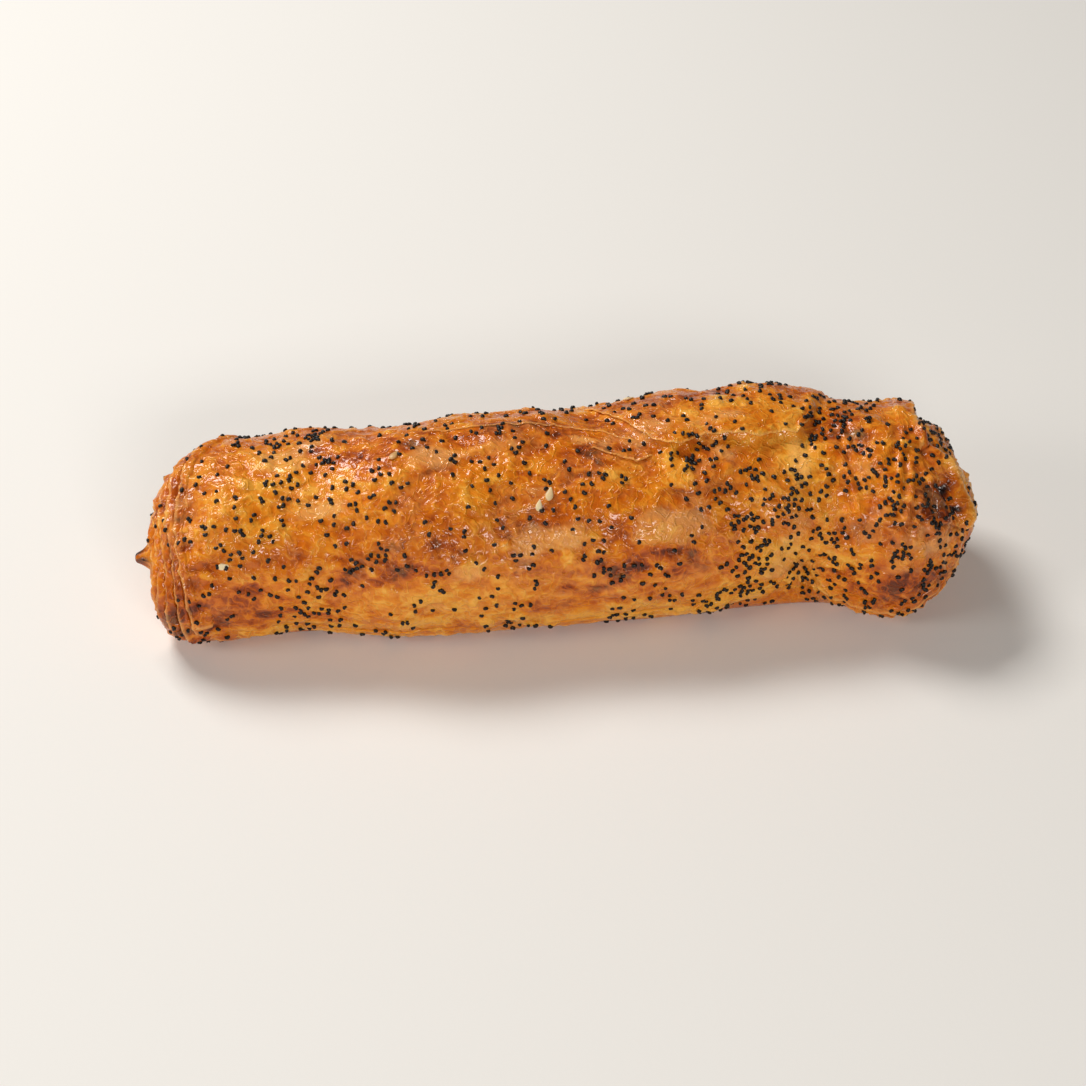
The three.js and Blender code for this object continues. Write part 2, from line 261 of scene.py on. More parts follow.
@dataclass(frozen=True)
class RollForm:
    """The plain roll: sections along it, a flat underside and two domed ends."""

    width: float = 50.5
    height: float = 42.0
    sag: float = 1.22
    fullness: float = 0.8
    dome_rings: int = 60
    body_rings: int = 286
    left: Dome = Dome(
        End.FOLDED, start=-72, length=20, pole=(-7, 20), plainness=2.1,
        corners=((3.0, 236, 46), (0.25, 50, 40), (-0.15, 105, 28)),
    )
    right: Dome = Dome(
        End.PINCHED, start=73, length=22.5, pole=(2, 22), plainness=2.35,
        corners=((0.45, 58, 22), (-0.25, 118, 24)),
    )
    sections: tuple[Section, ...] = tuple(Section(*row) for row in (
        (-96, -0.4, 0.87, 0.9), (-80, 0.8, 0.9, 0.93), (-55, 2.4, 0.93, 0.95), (-36, 0.0, 1.0, 1.0),
        (-5, 1.6, 1.0, 1.01), (20, 1.8, 1.0, 1.01), (45, 3.8, 0.98, 1.0), (62, 3.2, 0.95, 1.0),
        (75, -0.6, 1.02, 1.0), (96, 0.5, 0.96, 0.96),
    ))
    along_step: float = 0.3
    round_step: float = 0.01

    @property
    def last_ring(self) -> int:
        """Return the ring number of the knob's pole."""
        return 2 * self.dome_rings + self.body_rings

    def section_value(self, x: np.ndarray, name: str) -> np.ndarray:
        """Read one property of the sections on a smooth curve through them.

        Args:
            x: Places along the roll.
            name: The property's name.

        Returns:
            The property at each place.
        """
        places = np.array([s.x for s in self.sections])
        values = np.array([getattr(s, name) for s in self.sections])
        last = len(places) - 1
        start = np.clip(np.searchsorted(places, x, "right") - 1, 0, last - 1)
        before, after = np.maximum(start - 1, 0), np.minimum(start + 2, last)
        span = places[start + 1] - places[start]
        s = np.clip((x - places[start]) / span, 0, 1)
        slope_from = (values[start + 1] - values[before]) / (places[start + 1] - places[before]) * span
        slope_to = (values[after] - values[start]) / (places[after] - places[start]) * span
        return (
            values[start] * (2 * s ** 3 - 3 * s ** 2 + 1) + slope_from * (s ** 3 - 2 * s ** 2 + s)
            + values[start + 1] * (3 * s ** 2 - 2 * s ** 3) + slope_to * (s ** 3 - s ** 2)
        )

    def section_point(self, x: np.ndarray, angle: np.ndarray) -> np.ndarray:
        """Return the points of the plain sections, N by 3."""
        across, up = np.cos(angle), np.sin(angle)
        below = up < 0
        across = np.where(below, np.sign(across) * np.abs(across) ** self.fullness, across)
        y = self.section_value(x, "offset") + self.width / 2 * self.section_value(x, "width") * across
        half_height = self.height / 2 * self.section_value(x, "height")
        z = half_height * (1 + up * np.where(below, self.sag, 1))
        return np.stack([x, y, np.maximum(z, 0)], 1)

    def ring_at(self, x: np.ndarray, angle: np.ndarray) -> np.ndarray:
        """Return the ring numbers of places along the roll, on its body or its domes."""
        along = (x - self.left.start) / (self.right.start - self.left.start)
        ring = self.dome_rings + along * self.body_rings
        for dome in (self.left, self.right):
            depth = np.clip((x - dome.start) * dome.end.value / dome.length, 0, 1)
            turn = np.arccos(depth ** (dome.squareness(angle) / 2)) / (math.pi / 2)
            ring = np.where(depth > 0, self.ring_from_pole(dome.end, turn), ring)
        return ring

    def ring_from_pole(self, end: End, share: np.ndarray) -> np.ndarray:
        """Return ring numbers at a share of the way from a dome's pole to its start."""
        from_pole = share * self.dome_rings
        return self.last_ring - from_pole if end is End.PINCHED else from_pole

    def plain(self, ring: np.ndarray, angle: np.ndarray) -> tuple[np.ndarray, np.ndarray]:
        """Find points of the plain roll.

        Args:
            ring: Ring numbers, from 0 at the folded end's pole to last_ring at the knob's.
            angle: Angles round the roll.

        Returns:
            The points, and how far each lies into a dome, or 0 on the body.
        """
        body = np.clip((ring - self.dome_rings) / self.body_rings, 0, 1)
        x = self.left.start + body * (self.right.start - self.left.start)
        depth, shrink = np.zeros_like(x), np.ones_like(x)
        pole = np.zeros((len(x), 2))
        for dome in (self.left, self.right):
            from_pole = ring if dome.end is End.FOLDED else self.last_ring - ring
            inside = from_pole < self.dome_rings
            turn = np.clip(from_pole / self.dome_rings, 0, 1) * math.pi / 2
            power = 2 / dome.squareness(angle)
            into = dome.length * np.cos(turn) ** power
            depth = np.where(inside, into, depth)
            shrink = np.where(inside, np.sin(turn) ** power, shrink)
            x = np.where(inside, dome.start + dome.end.value * into, x)
            pole[inside] = dome.pole
        point = self.section_point(x, angle)
        point[:, 1:] = pole + (point[:, 1:] - pole) * shrink[:, None]
        return point, depth

    def normal(self, ring: np.ndarray, angle: np.ndarray) -> np.ndarray:
        """Return the plain roll's outward normals."""
        ahead = self.plain(np.minimum(ring + self.along_step, self.last_ring), angle)[0]
        behind = self.plain(np.maximum(ring - self.along_step, 0), angle)[0]
        left, right = (self.plain(ring, angle + step)[0] for step in (self.round_step, -self.round_step))
        return unit(np.cross(left - right, ahead - behind))


# ---- The forms on the roll, in millimetres ----

@dataclass(frozen=True)
class Flap:
    """The outer sheet's loose flap on the back and top, with a fold along its free edge."""

    lift: float = 3.1
    along: Stretch = ((4, 30), (44, 76))
    root: Span = (-0.7, 0.5)
    lowest_edge: float = 28
    climb: float = 74
    climb_along: Stretch = ((-4, 26), (54, 70))
    edge_waves: Triples = ((1.6, 0.31, 0.5), (1.1, 0.73, 0))
    edge_step: Span = (-0.1, 0.12)
    fold_height: float = 0.4
    fold_at: float = 0.02
    fold_spread: float = 0.035
    fold_along: Stretch = ((6, 18), (52, 62))

    def edge(self, x: np.ndarray) -> np.ndarray:
        """Return the angle of the flap's free edge, which climbs over the top of the roll."""
        climb = between(x, *self.climb_along)
        return np.radians(self.lowest_edge + self.climb * climb + ripple(x, self.edge_waves) * climb)

    def relief(self, x: np.ndarray, angle: np.ndarray) -> np.ndarray:
        """Return how far the flap and its fold stand out."""
        from_back = np.where(angle > math.radians(270), angle - 2 * math.pi, angle)
        to_edge = self.edge(x) - from_back
        raised = self.lift * between(x, *self.along) * smooth(to_edge, *self.edge_step)
        fold = self.fold_height * bump(to_edge - self.fold_at, self.fold_spread)
        return raised * smooth(from_back, *self.root) + fold * between(x, *self.fold_along)


@dataclass(frozen=True)
class Neck:
    """The slanting neck that parts the knob from the roll, deepest where the sheets were pinched shut."""

    at: float = 61.5
    slant: float = 8.0
    furthest_angle: float = 50
    depth: float = 1.7
    back_share: float = 0.25
    front_share: float = 0.5
    front: Stretch = ((100, 190), (300, 350))
    pinch_share: float = 0.8
    pinch_angle: float = 206
    pinch_spread: float = 32
    spreads: Span = (7.15, 4.4)

    def relief(self, x: np.ndarray, angle: np.ndarray) -> np.ndarray:
        """Return how far the dough is drawn in, as a height below 0."""
        middle = self.at + self.slant * np.cos(angle - math.radians(self.furthest_angle))
        front = between(np.degrees(angle) % 360, *self.front)
        pinched = bump(degrees_apart(angle, self.pinch_angle), self.pinch_spread)
        depth = self.depth * (self.back_share + self.front_share * front + self.pinch_share * pinched)
        return -depth * bump(x - middle, np.where(x < middle, *self.spreads))


@dataclass(frozen=True)
class Pleats:
    """The pleats that run along the knob, and the star of short ones that fans out of the pinch."""

    height: float = 0.55
    count: int = 11
    wander: Triples = ((0.35, 0.33, 0), (0.2, 0.71, 1.3))
    evenness: float = 0.6
    along: Stretch = ((56, 66), (84, 93))
    pinch: Span = (54.5, 197)
    pinch_radius: float = 25
    star_height: float = 1.3
    star_level: float = 0.3
    star_reach: float = 13
    star_start: Span = (1, 4)
    star_rays: float = 5.5
    star_twist: Triples = ((1.1, 0.35, 0),)
    hole_depth: float = 1.4
    hole_spread: float = 2.4

    def relief(self, x: np.ndarray, angle: np.ndarray) -> np.ndarray:
        """Return how far the pleats stand out."""
        broad = np.sin(self.count * (angle + ripple(x, self.wander)))
        broad *= self.evenness + ripple(angle, ((1 - self.evenness, 3, 1),))
        ahead = x - self.pinch[0]
        up = degrees_apart(angle, self.pinch[1]) * math.radians(self.pinch_radius)
        far = np.hypot(ahead, up)
        fan = 1 - np.abs(np.sin(self.star_rays * np.arctan2(up, ahead) + ripple(far, self.star_twist)))
        star = self.star_height * bump(far, self.star_reach) * smooth(far, *self.star_start)
        star = star * (fan ** 2 - self.star_level) - self.hole_depth * bump(far, self.hole_spread)
        return self.height * between(x, *self.along) * broad + star


@dataclass(frozen=True)
class Overlap:
    """The step of the sheet whose edge runs along the top left of the roll."""

    height: float = 0.6
    edge: float = 116
    edge_drop: float = 19
    drop_along: Span = (-42, -10)
    edge_waves: Triples = ((1.4, 0.5, 0),)
    edge_step: Span = (-2.5, 3)
    root: Span = (40, 84)
    along: Stretch = ((-47, -36), (-6, 10))

    def relief(self, x: np.ndarray, angle: np.ndarray) -> np.ndarray:
        """Return how far the sheet stands out."""
        turned = np.degrees(angle)
        edge = self.edge - self.edge_drop * smooth(x, *self.drop_along) + ripple(x, self.edge_waves)
        height = between(x, *self.along) * self.height
        return height * smooth(edge - turned, *self.edge_step) * smooth(turned, *self.root)


@dataclass(frozen=True)
class Swells:
    """The long soft swells where the filling pushes the dough out."""

    waves: tuple[tuple[float, float, float, float], ...] = (
        (0.35, 0.09, 2, 0.4), (0.3, -0.16, 3, 2.1), (0.22, 0.24, 4, 4.0), (0.14, -0.37, 5, 1.2),
    )

    def relief(self, x: np.ndarray, angle: np.ndarray) -> np.ndarray:
        """Return how far the swells stand out."""
        return sum(
            size * np.sin(along * x + around * angle + phase) for size, along, around, phase in self.waves
        )


@dataclass(frozen=True)
class EndLayers:
    """The sheets that end one behind another round a closed end, by shares of the way from its pole."""

    step: float = 0.8
    knob_step: float = 0.4
    pitch: float = 0.095
    rim_share: float = 0.525
    closest_angle: float = 128
    slant: float = 0.62
    slant_over: float = 82
    knob_slant: float = 1.15
    wander: Triples = ((0.012, 2, 0.6), (0.012, 5, 2), (0.009, 13, 0))
    ragged: tuple[float, float, float] = (0.006, 29, 20)
    drop: Span = (0.84, 1)
    lip_at: float = 0.8
    lip_spread: float = 0.1

    def end_slant(self, angle: np.ndarray) -> np.ndarray:
        """Return how much further from the pole the folded end's edges run, away from their closest angle."""
        return 1 + self.slant * (degrees_apart(angle, self.closest_angle) / self.slant_over) ** 2

    def relief(self, share: np.ndarray, angle: np.ndarray, left: np.ndarray) -> tuple[np.ndarray, np.ndarray]:
        """Step the dough down from each sheet's edge to the next sheet.

        Args:
            share: The share of the way from the dome's pole to its start.
            angle: The angle round the roll.
            left: Whether each place is on the folded end.

        Returns:
            The relief, and how near the edge of a sheet is, from 0 to 1.
        """
        size, around, inwards = self.ragged
        wander = ripple(angle, self.wander) + size * np.sin(around * angle + inwards * share)
        level = share / np.where(left, self.end_slant(angle), self.knob_slant) + wander
        steps = np.maximum((self.rim_share - level) / self.pitch + 1, 0)
        rise = steps % 1
        height = np.where(left, self.step, self.knob_step)
        lip = bump(rise - self.lip_at, self.lip_spread) * (steps > 0)
        return height * (rise - smooth(rise, *self.drop)), lip


@dataclass(frozen=True)
class KnobTip:
    """The knob's tip: a rolled rim that slants over it, a pocket in front of that, and a sheet's corner."""

    rim_height: float = 1.6
    rim_spread: float = 1.5
    rim_depth: float = 9.9
    rim_deeper: tuple[tuple[float, Span], ...] = ((6.5, (90, 126)), (2.4, (126, 160)))
    rim_around: Stretch = ((76, 92), (156, 174))
    pocket_depth: float = 2.6
    pocket_at: float = 14.2
    pocket_lean: float = 0.1
    pocket_angle: float = 135
    pocket_along: float = 1.7
    pocket_around: float = 15
    ear_height: float = 0.7
    ear_rise: Span = (2, 7)
    ear_step: float = 2.2
    ear_depth: float = 9.4
    ear_deeper: float = 3.2
    ear_slant: Span = (34, 84)
    ear_edge: float = 1.6
    ear_around: Stretch = ((20, 45), (98, 112))

    def rim(self, depth: np.ndarray, turned: np.ndarray) -> np.ndarray:
        """Return how far the rim stands out, and how far the pocket goes in."""
        at = self.rim_depth + sum(more * smooth(turned, *span) for more, span in self.rim_deeper)
        off = turned - self.pocket_angle
        pocket = self.pocket_depth * bump(depth - self.pocket_at - self.pocket_lean * off, self.pocket_along)
        rim = self.rim_height * bump(depth - at, self.rim_spread) * between(turned, *self.rim_around)
        return rim - pocket * bump(off, self.pocket_around)

    def ear(self, depth: np.ndarray, turned: np.ndarray) -> np.ndarray:
        """Return the step where the outermost sheet ends in a corner over the top of the knob."""
        fall = self.ear_depth + self.ear_deeper * (1 - smooth(turned, *self.ear_slant))
        step = self.ear_step * smooth(depth, fall, fall + self.ear_edge)
        return between(turned, *self.ear_around) * (self.ear_height * smooth(depth, *self.ear_rise) - step)

    def relief(self, depth: np.ndarray, angle: np.ndarray) -> np.ndarray:
        """Return all the tip's relief, by how deep into the dome each place lies."""
        turned = np.degrees(angle)
        return self.rim(depth, turned) + self.ear(depth, turned)


@dataclass(frozen=True)
class Nub:
    """The small curl of dough that sticks out at the folded end's pole: a blunt tip on a broad base."""

    length: float = 4.8
    tip_share: float = 0.6
    tip_spread: float = 2.0
    base_spread: float = 4.5
    unevenness: Triples = ((0.16, 3, 0), (0.1, 5, 1))

    def reach(self, from_pole: np.ndarray, angle: np.ndarray) -> np.ndarray:
        """Return how far out the nub reaches, by the distance from the pole."""
        girth = self.tip_spread * (1 + ripple(angle, self.unevenness))
        tip = self.tip_share * bump((from_pole / girth) ** 2)
        return self.length * (tip + (1 - self.tip_share) * bump(from_pole, self.base_spread))


# ---- The dough's skin, in millimetres ----

@dataclass(frozen=True)
class Facets:
    """Where the crisp dough's facets lie: their height, each one's own number, and how near its edge is."""

    height: np.ndarray
    shade: np.ndarray
    edge: np.ndarray


@dataclass(frozen=True)
class DoughSkin:
    """The fine relief of crisp dough: its facets, its creases, its blisters and its soft unevenness."""

    stretch: tuple[float, float, float] = (0.62, 1, 1)
    facet_sets: Triples = ((7.5, 0.36, 5), (3.9, 0.18, 6))
    facet_warp: float = 2.4
    facet_warp_size: float = 11
    facet_bevel: Span = (0, 0.12)
    facet_lean: float = 1.5
    facet_groove: float = 0.25
    facet_edge: Span = (0.1, 0.06)
    facet_salts: int = 7
    crease_stretch: tuple[float, float, float] = (0.6, 1, 1)
    crease_sets: tuple[tuple[float, float, float, int], ...] = (
        (5.2, 0.26, 0.13, 21), (3.1, 0.2, 0.17, 24), (2.4, 0.1, 0.22, 27),
    )
    crease_patch_size: float = 15
    crease_patch: Span = (-0.4, 0.15)
    crease_warp: float = 0.9
    crease_warp_size: float = 1.4
    crease_salts: tuple[int, int] = (9, 40)
    blister_pitch: float = 9.0
    blister_sizes: Span = (0.18, 0.2)
    blister_share: float = 0.42
    blister_height: float = 0.8
    unevenness: Span = (0.36, 9)
    grain: Span = (0.05, 2.4)
    sink: float = 0.1

    def facets(self, points: np.ndarray) -> Facets:
        """Lay out the flat, tilted facets of crisp dough, with the sharp turns between them."""
        warp = self.facet_warp * Noise.shifts(points / self.facet_warp_size, Salt.FACET_WARP)
        stretched = points * self.stretch + warp
        height, shade, edge = (np.zeros(len(points)) for _ in range(3))
        for size, tilt, salt in self.facet_sets:
            first, second, away, owner = Noise.cells(stretched / size, salt)
            lean = Noise.triple(owner, salt * self.facet_salts) * 2 - 1
            border = second - first
            inside = smooth(border, *self.facet_bevel)
            tilted = (lean * away).sum(1) * inside * self.facet_lean
            height += tilt * (tilted + self.facet_groove * (inside - 1))
            shade += Noise.chance(owner, salt * self.facet_salts + 4) / len(self.facet_sets)
            edge = np.maximum(edge, bump(border - self.facet_edge[0], self.facet_edge[1]))
        return Facets(height, shade, edge)

    def creases(self, points: np.ndarray) -> np.ndarray:
        """Return the thin raised creases that wander over the dough in patches."""
        total = np.zeros(len(points))
        patch_salt, warp_salt = self.crease_salts
        for size, height, width, salt in self.crease_sets:
            patch = Noise.waves(points / self.crease_patch_size, salt + patch_salt)
            warp = self.crease_warp * Noise.shifts(points / (size * self.crease_warp_size), salt + warp_salt)
            lines = Noise.waves(points * self.crease_stretch / size + warp, salt)
            total += smooth(patch, *self.crease_patch) * height * bump(lines, width)
        return total

    def blisters(self, points: np.ndarray) -> np.ndarray:
        """Return the smooth round blisters that the heat raised here and there."""
        first, _, _, owner = Noise.cells(points / self.blister_pitch, Salt.BLISTERS)
        smallest, larger = self.blister_sizes
        size = smallest + larger * Noise.chance(owner, Salt.BLISTER_SIZES)
        raised = Noise.chance(owner, Salt.BLISTER_CHANCES) < self.blister_share
        return np.where(raised, self.blister_height * smooth(1 - (first / size) ** 2, 0, 1), 0)

    def rough(self, points: np.ndarray) -> np.ndarray:
        """Return the soft unevenness of the dough, which lies a little lower than the plain roll."""
        (high, wide), (fine, small) = self.unevenness, self.grain
        uneven = high * Noise.layered(points / wide, Salt.UNEVENNESS, 2)
        return uneven + fine * Noise.waves(points / small, Salt.GRAIN) - self.sink


@dataclass(frozen=True)
class Surface:
    """Places on the plain roll with the crust's height over it, in millimetres.

    Raised tells how far each place stands out of the dough round it, and lip how near the free edge of a
    sheet is, from 0 to 1. Shift moves a place along the roll.
    """

    plain: np.ndarray
    normal: np.ndarray
    height: np.ndarray
    shift: np.ndarray
    raised: np.ndarray
    facets: Facets
    lip: np.ndarray

    def points(self, height: np.ndarray | None = None) -> np.ndarray:
        """Return the points at a height over the plain roll, or on the crust itself."""
        out = self.plain + self.normal * (self.height if height is None else height)[:, None]
        out[:, 0] += self.shift
        out[:, 2] = np.maximum(out[:, 2], 0)
        return out


@dataclass(frozen=True)
class CrustRelief:
    """How far the crust stands out of the plain roll, from the big flap down to creases."""

    form: RollForm = RollForm()
    flap: Flap = Flap()
    neck: Neck = Neck()
    pleats: Pleats = Pleats()
    swells: Swells = Swells()
    overlap: Overlap = Overlap()
    layers: EndLayers = EndLayers()
    tip: KnobTip = KnobTip()
    nub: Nub = Nub()
    skin: DoughSkin = DoughSkin()
    floor_fade: Span = (0.2, 5)
    pole_fade: Span = (1, 6)

    def at(self, ring: np.ndarray, angle: np.ndarray) -> Surface:
        """Find the crust's surface.

        Args:
            ring: Ring numbers.
            angle: Angles round the roll.

        Returns:
            The surface at each place.
        """
        form, skin = self.form, self.skin
        point, depth = form.plain(ring, angle)
        x = point[:, 0]
        left, in_dome = x < 0, depth > 0
        pole = np.where(left[:, None], form.left.pole, form.right.pole)
        from_pole = np.linalg.norm(point[:, 1:] - pole, axis=1)
        parts = (self.flap, self.neck, self.pleats, self.swells, self.overlap)
        relief = sum(part.relief(x, angle) for part in parts)
        share = np.where(left, ring, form.last_ring - ring) / form.dome_rings
        steps, lip = self.layers.relief(share, angle, left)
        relief += np.where(in_dome, steps, 0) + np.where(in_dome & ~left, self.tip.relief(depth, angle), 0)
        facets = skin.facets(point)
        raised = facets.height + skin.creases(point) + skin.blisters(point) + skin.rough(point)
        relief = (relief + raised) * smooth(point[:, 2], *self.floor_fade)
        relief *= np.where(in_dome, smooth(from_pole, *self.pole_fade), 1)
        shift = np.where(left, -self.nub.reach(from_pole, angle), 0)
        return Surface(
            point, form.normal(ring, angle), relief, shift, raised, facets, np.where(in_dome, lip, 0),
        )


# ---- Making meshes ----

def primitive(name: str, add: Callable[..., object], **settings: object) -> bpy.types.Object:
    """Add one of Blender's primitive meshes.

    Args:
        name: The new piece's name.
        add: The operator that adds the primitive.
        settings: The operator's settings.

    Returns:
        The new piece.
    """
    bpy.ops.object.select_all(action="DESELECT")
    add(**settings)
    piece = bpy.context.active_object
    piece.name = piece.data.name = name
    return piece


def only(piece: bpy.types.Object) -> None:
    """Select one object alone and make it active."""
    bpy.ops.object.select_all(action="DESELECT")
    piece.select_set(True)
    bpy.context.view_layer.objects.active = piece


def corners(piece: bpy.types.Object) -> np.ndarray:
    """Return the vertices of a mesh, N by 3."""
    found = np.empty(len(piece.data.vertices) * 3, np.float32)
    piece.data.vertices.foreach_get("co", found)
    return found.reshape(-1, 3).astype(float)


def move_corners(piece: bpy.types.Object, points: np.ndarray) -> None:
    """Put the vertices of a mesh at new points."""
    piece.data.vertices.foreach_set("co", points.astype(np.float32).ravel())
    piece.data.update()


def paint(piece: bpy.types.Object, name: str, values: np.ndarray) -> None:
    """Store one number for each vertex, for a material to read."""
    layer = piece.data.attributes.new(name, "FLOAT", "POINT")
    layer.data.foreach_set("value", np.clip(values, 0, 1).astype(np.float32))


def dressed(piece: bpy.types.Object, finish: bpy.types.Material) -> bpy.types.Object:
    """Make a closed mesh face outwards, shade it smooth and give it its material."""
    only(piece)
    bpy.ops.object.mode_set(mode="EDIT")
    bpy.ops.mesh.select_all(action="SELECT")
    bpy.ops.mesh.normals_make_consistent(inside=False)
    bpy.ops.object.mode_set(mode="OBJECT")
    bpy.ops.object.shade_smooth()
    piece.data.materials.append(finish)
    return piece


# ---- Shader nodes ----

def linear(code: str) -> tuple[float, float, float, float]:
    """Turn an sRGB hex colour into the linear numbers that shaders work in.

    Args:
        code: Six hex digits.

    Returns:
        Red, green, blue and alpha.
    """
    shares = [int(code[k:k + 2], 16) / 255 for k in (0, 2, 4)]
    return *(s / 12.92 if s <= 0.04045 else ((s + 0.055) / 1.055) ** 2.4 for s in shares), 1.0


def add_node(tree: bpy.types.NodeTree, kind: str, inputs: dict | None = None,
             **settings: object) -> bpy.types.Node:
    """Add a node to a material.

    Args:
        tree: The material's nodes.
        kind: The node's type.
        inputs: Its sockets' values by name or number; an output socket as a value is linked.
        settings: The node's own settings.

    Returns:
        The new node.
    """
    new = tree.nodes.new(kind)
    for name, value in settings.items():
        setattr(new, name, value)
    for key, value in (inputs or {}).items():
        if isinstance(value, bpy.types.NodeSocket):
            tree.links.new(value, new.inputs[key])
        else:
            new.inputs[key].default_value = value
    return new


def noise(tree: bpy.types.NodeTree, place: bpy.types.NodeSocket, millimetres: float,
          **inputs: float) -> bpy.types.NodeSocket:
    """Return a noise pattern with features this large."""
    sockets = {"Vector": place, "Scale": 1 / (millimetres * MM)} | inputs
    return add_node(tree, "ShaderNodeTexNoise", sockets).outputs["Fac"]


def painted(tree: bpy.types.NodeTree, name: str) -> bpy.types.NodeSocket:
    """Return the numbers that were painted onto a mesh under a name."""
    return add_node(tree, "ShaderNodeAttribute", attribute_name=name).outputs["Fac"]


def calculated(tree: bpy.types.NodeTree, operation: str,
               *values: bpy.types.NodeSocket | float) -> bpy.types.NodeSocket:
    """Return the result of a sum over one or two numbers."""
    return add_node(tree, "ShaderNodeMath", dict(enumerate(values)), operation=operation).outputs[0]


def mapped(tree: bpy.types.NodeTree, value: bpy.types.NodeSocket, source: Span, target: Span,
           **settings: str) -> bpy.types.NodeSocket:
    """Map a number from one span to another, without going past its ends."""
    sockets = {
        "Value": value, "From Min": source[0], "From Max": source[1],
        "To Min": target[0], "To Max": target[1],
    }
    return add_node(tree, "ShaderNodeMapRange", sockets, **settings).outputs["Result"]


def ramped(tree: bpy.types.NodeTree, value: bpy.types.NodeSocket,
           colours: tuple[tuple[float, str], ...]) -> bpy.types.NodeSocket:
    """Turn a number into a colour between the colours given at some of its values."""
    ramp = add_node(tree, "ShaderNodeValToRGB", {"Fac": value})
    stops = ramp.color_ramp.elements
    while len(stops) < len(colours):
        stops.new(0.5)
    for stop, (at, code) in zip(stops, colours):
        stop.position = at
        stop.color = linear(code)
    return ramp.outputs["Color"]


def raised(tree: bpy.types.NodeTree, height: bpy.types.NodeSocket, strength: float,
           millimetres: float) -> bpy.types.NodeSocket:
    """Return the normal of a surface that a height pattern raises this far."""
    sockets = {"Height": height, "Strength": strength, "Distance": millimetres * MM}
    return add_node(tree, "ShaderNodeBump", sockets).outputs["Normal"]


# ---- Finishes ----

class Finish:
    """A finish of one surface; each kind of finish gives its name and its shader's inputs."""

    name: str

    def inputs(self, tree: bpy.types.NodeTree, place: bpy.types.NodeSocket) -> dict:
        """Give the shader's inputs by name."""
        raise NotImplementedError

    def material(self) -> bpy.types.Material:
        """Make the finish's material."""
        made = bpy.data.materials.new(self.name)
        made.use_nodes = True
        tree = made.node_tree
        tree.nodes.clear()
        place = add_node(tree, "ShaderNodeTexCoord").outputs["Object"]
        shader = add_node(tree, "ShaderNodeBsdfPrincipled", self.inputs(tree, place))
        add_node(tree, "ShaderNodeOutputMaterial", {"Surface": shader.outputs["BSDF"]})
        return made


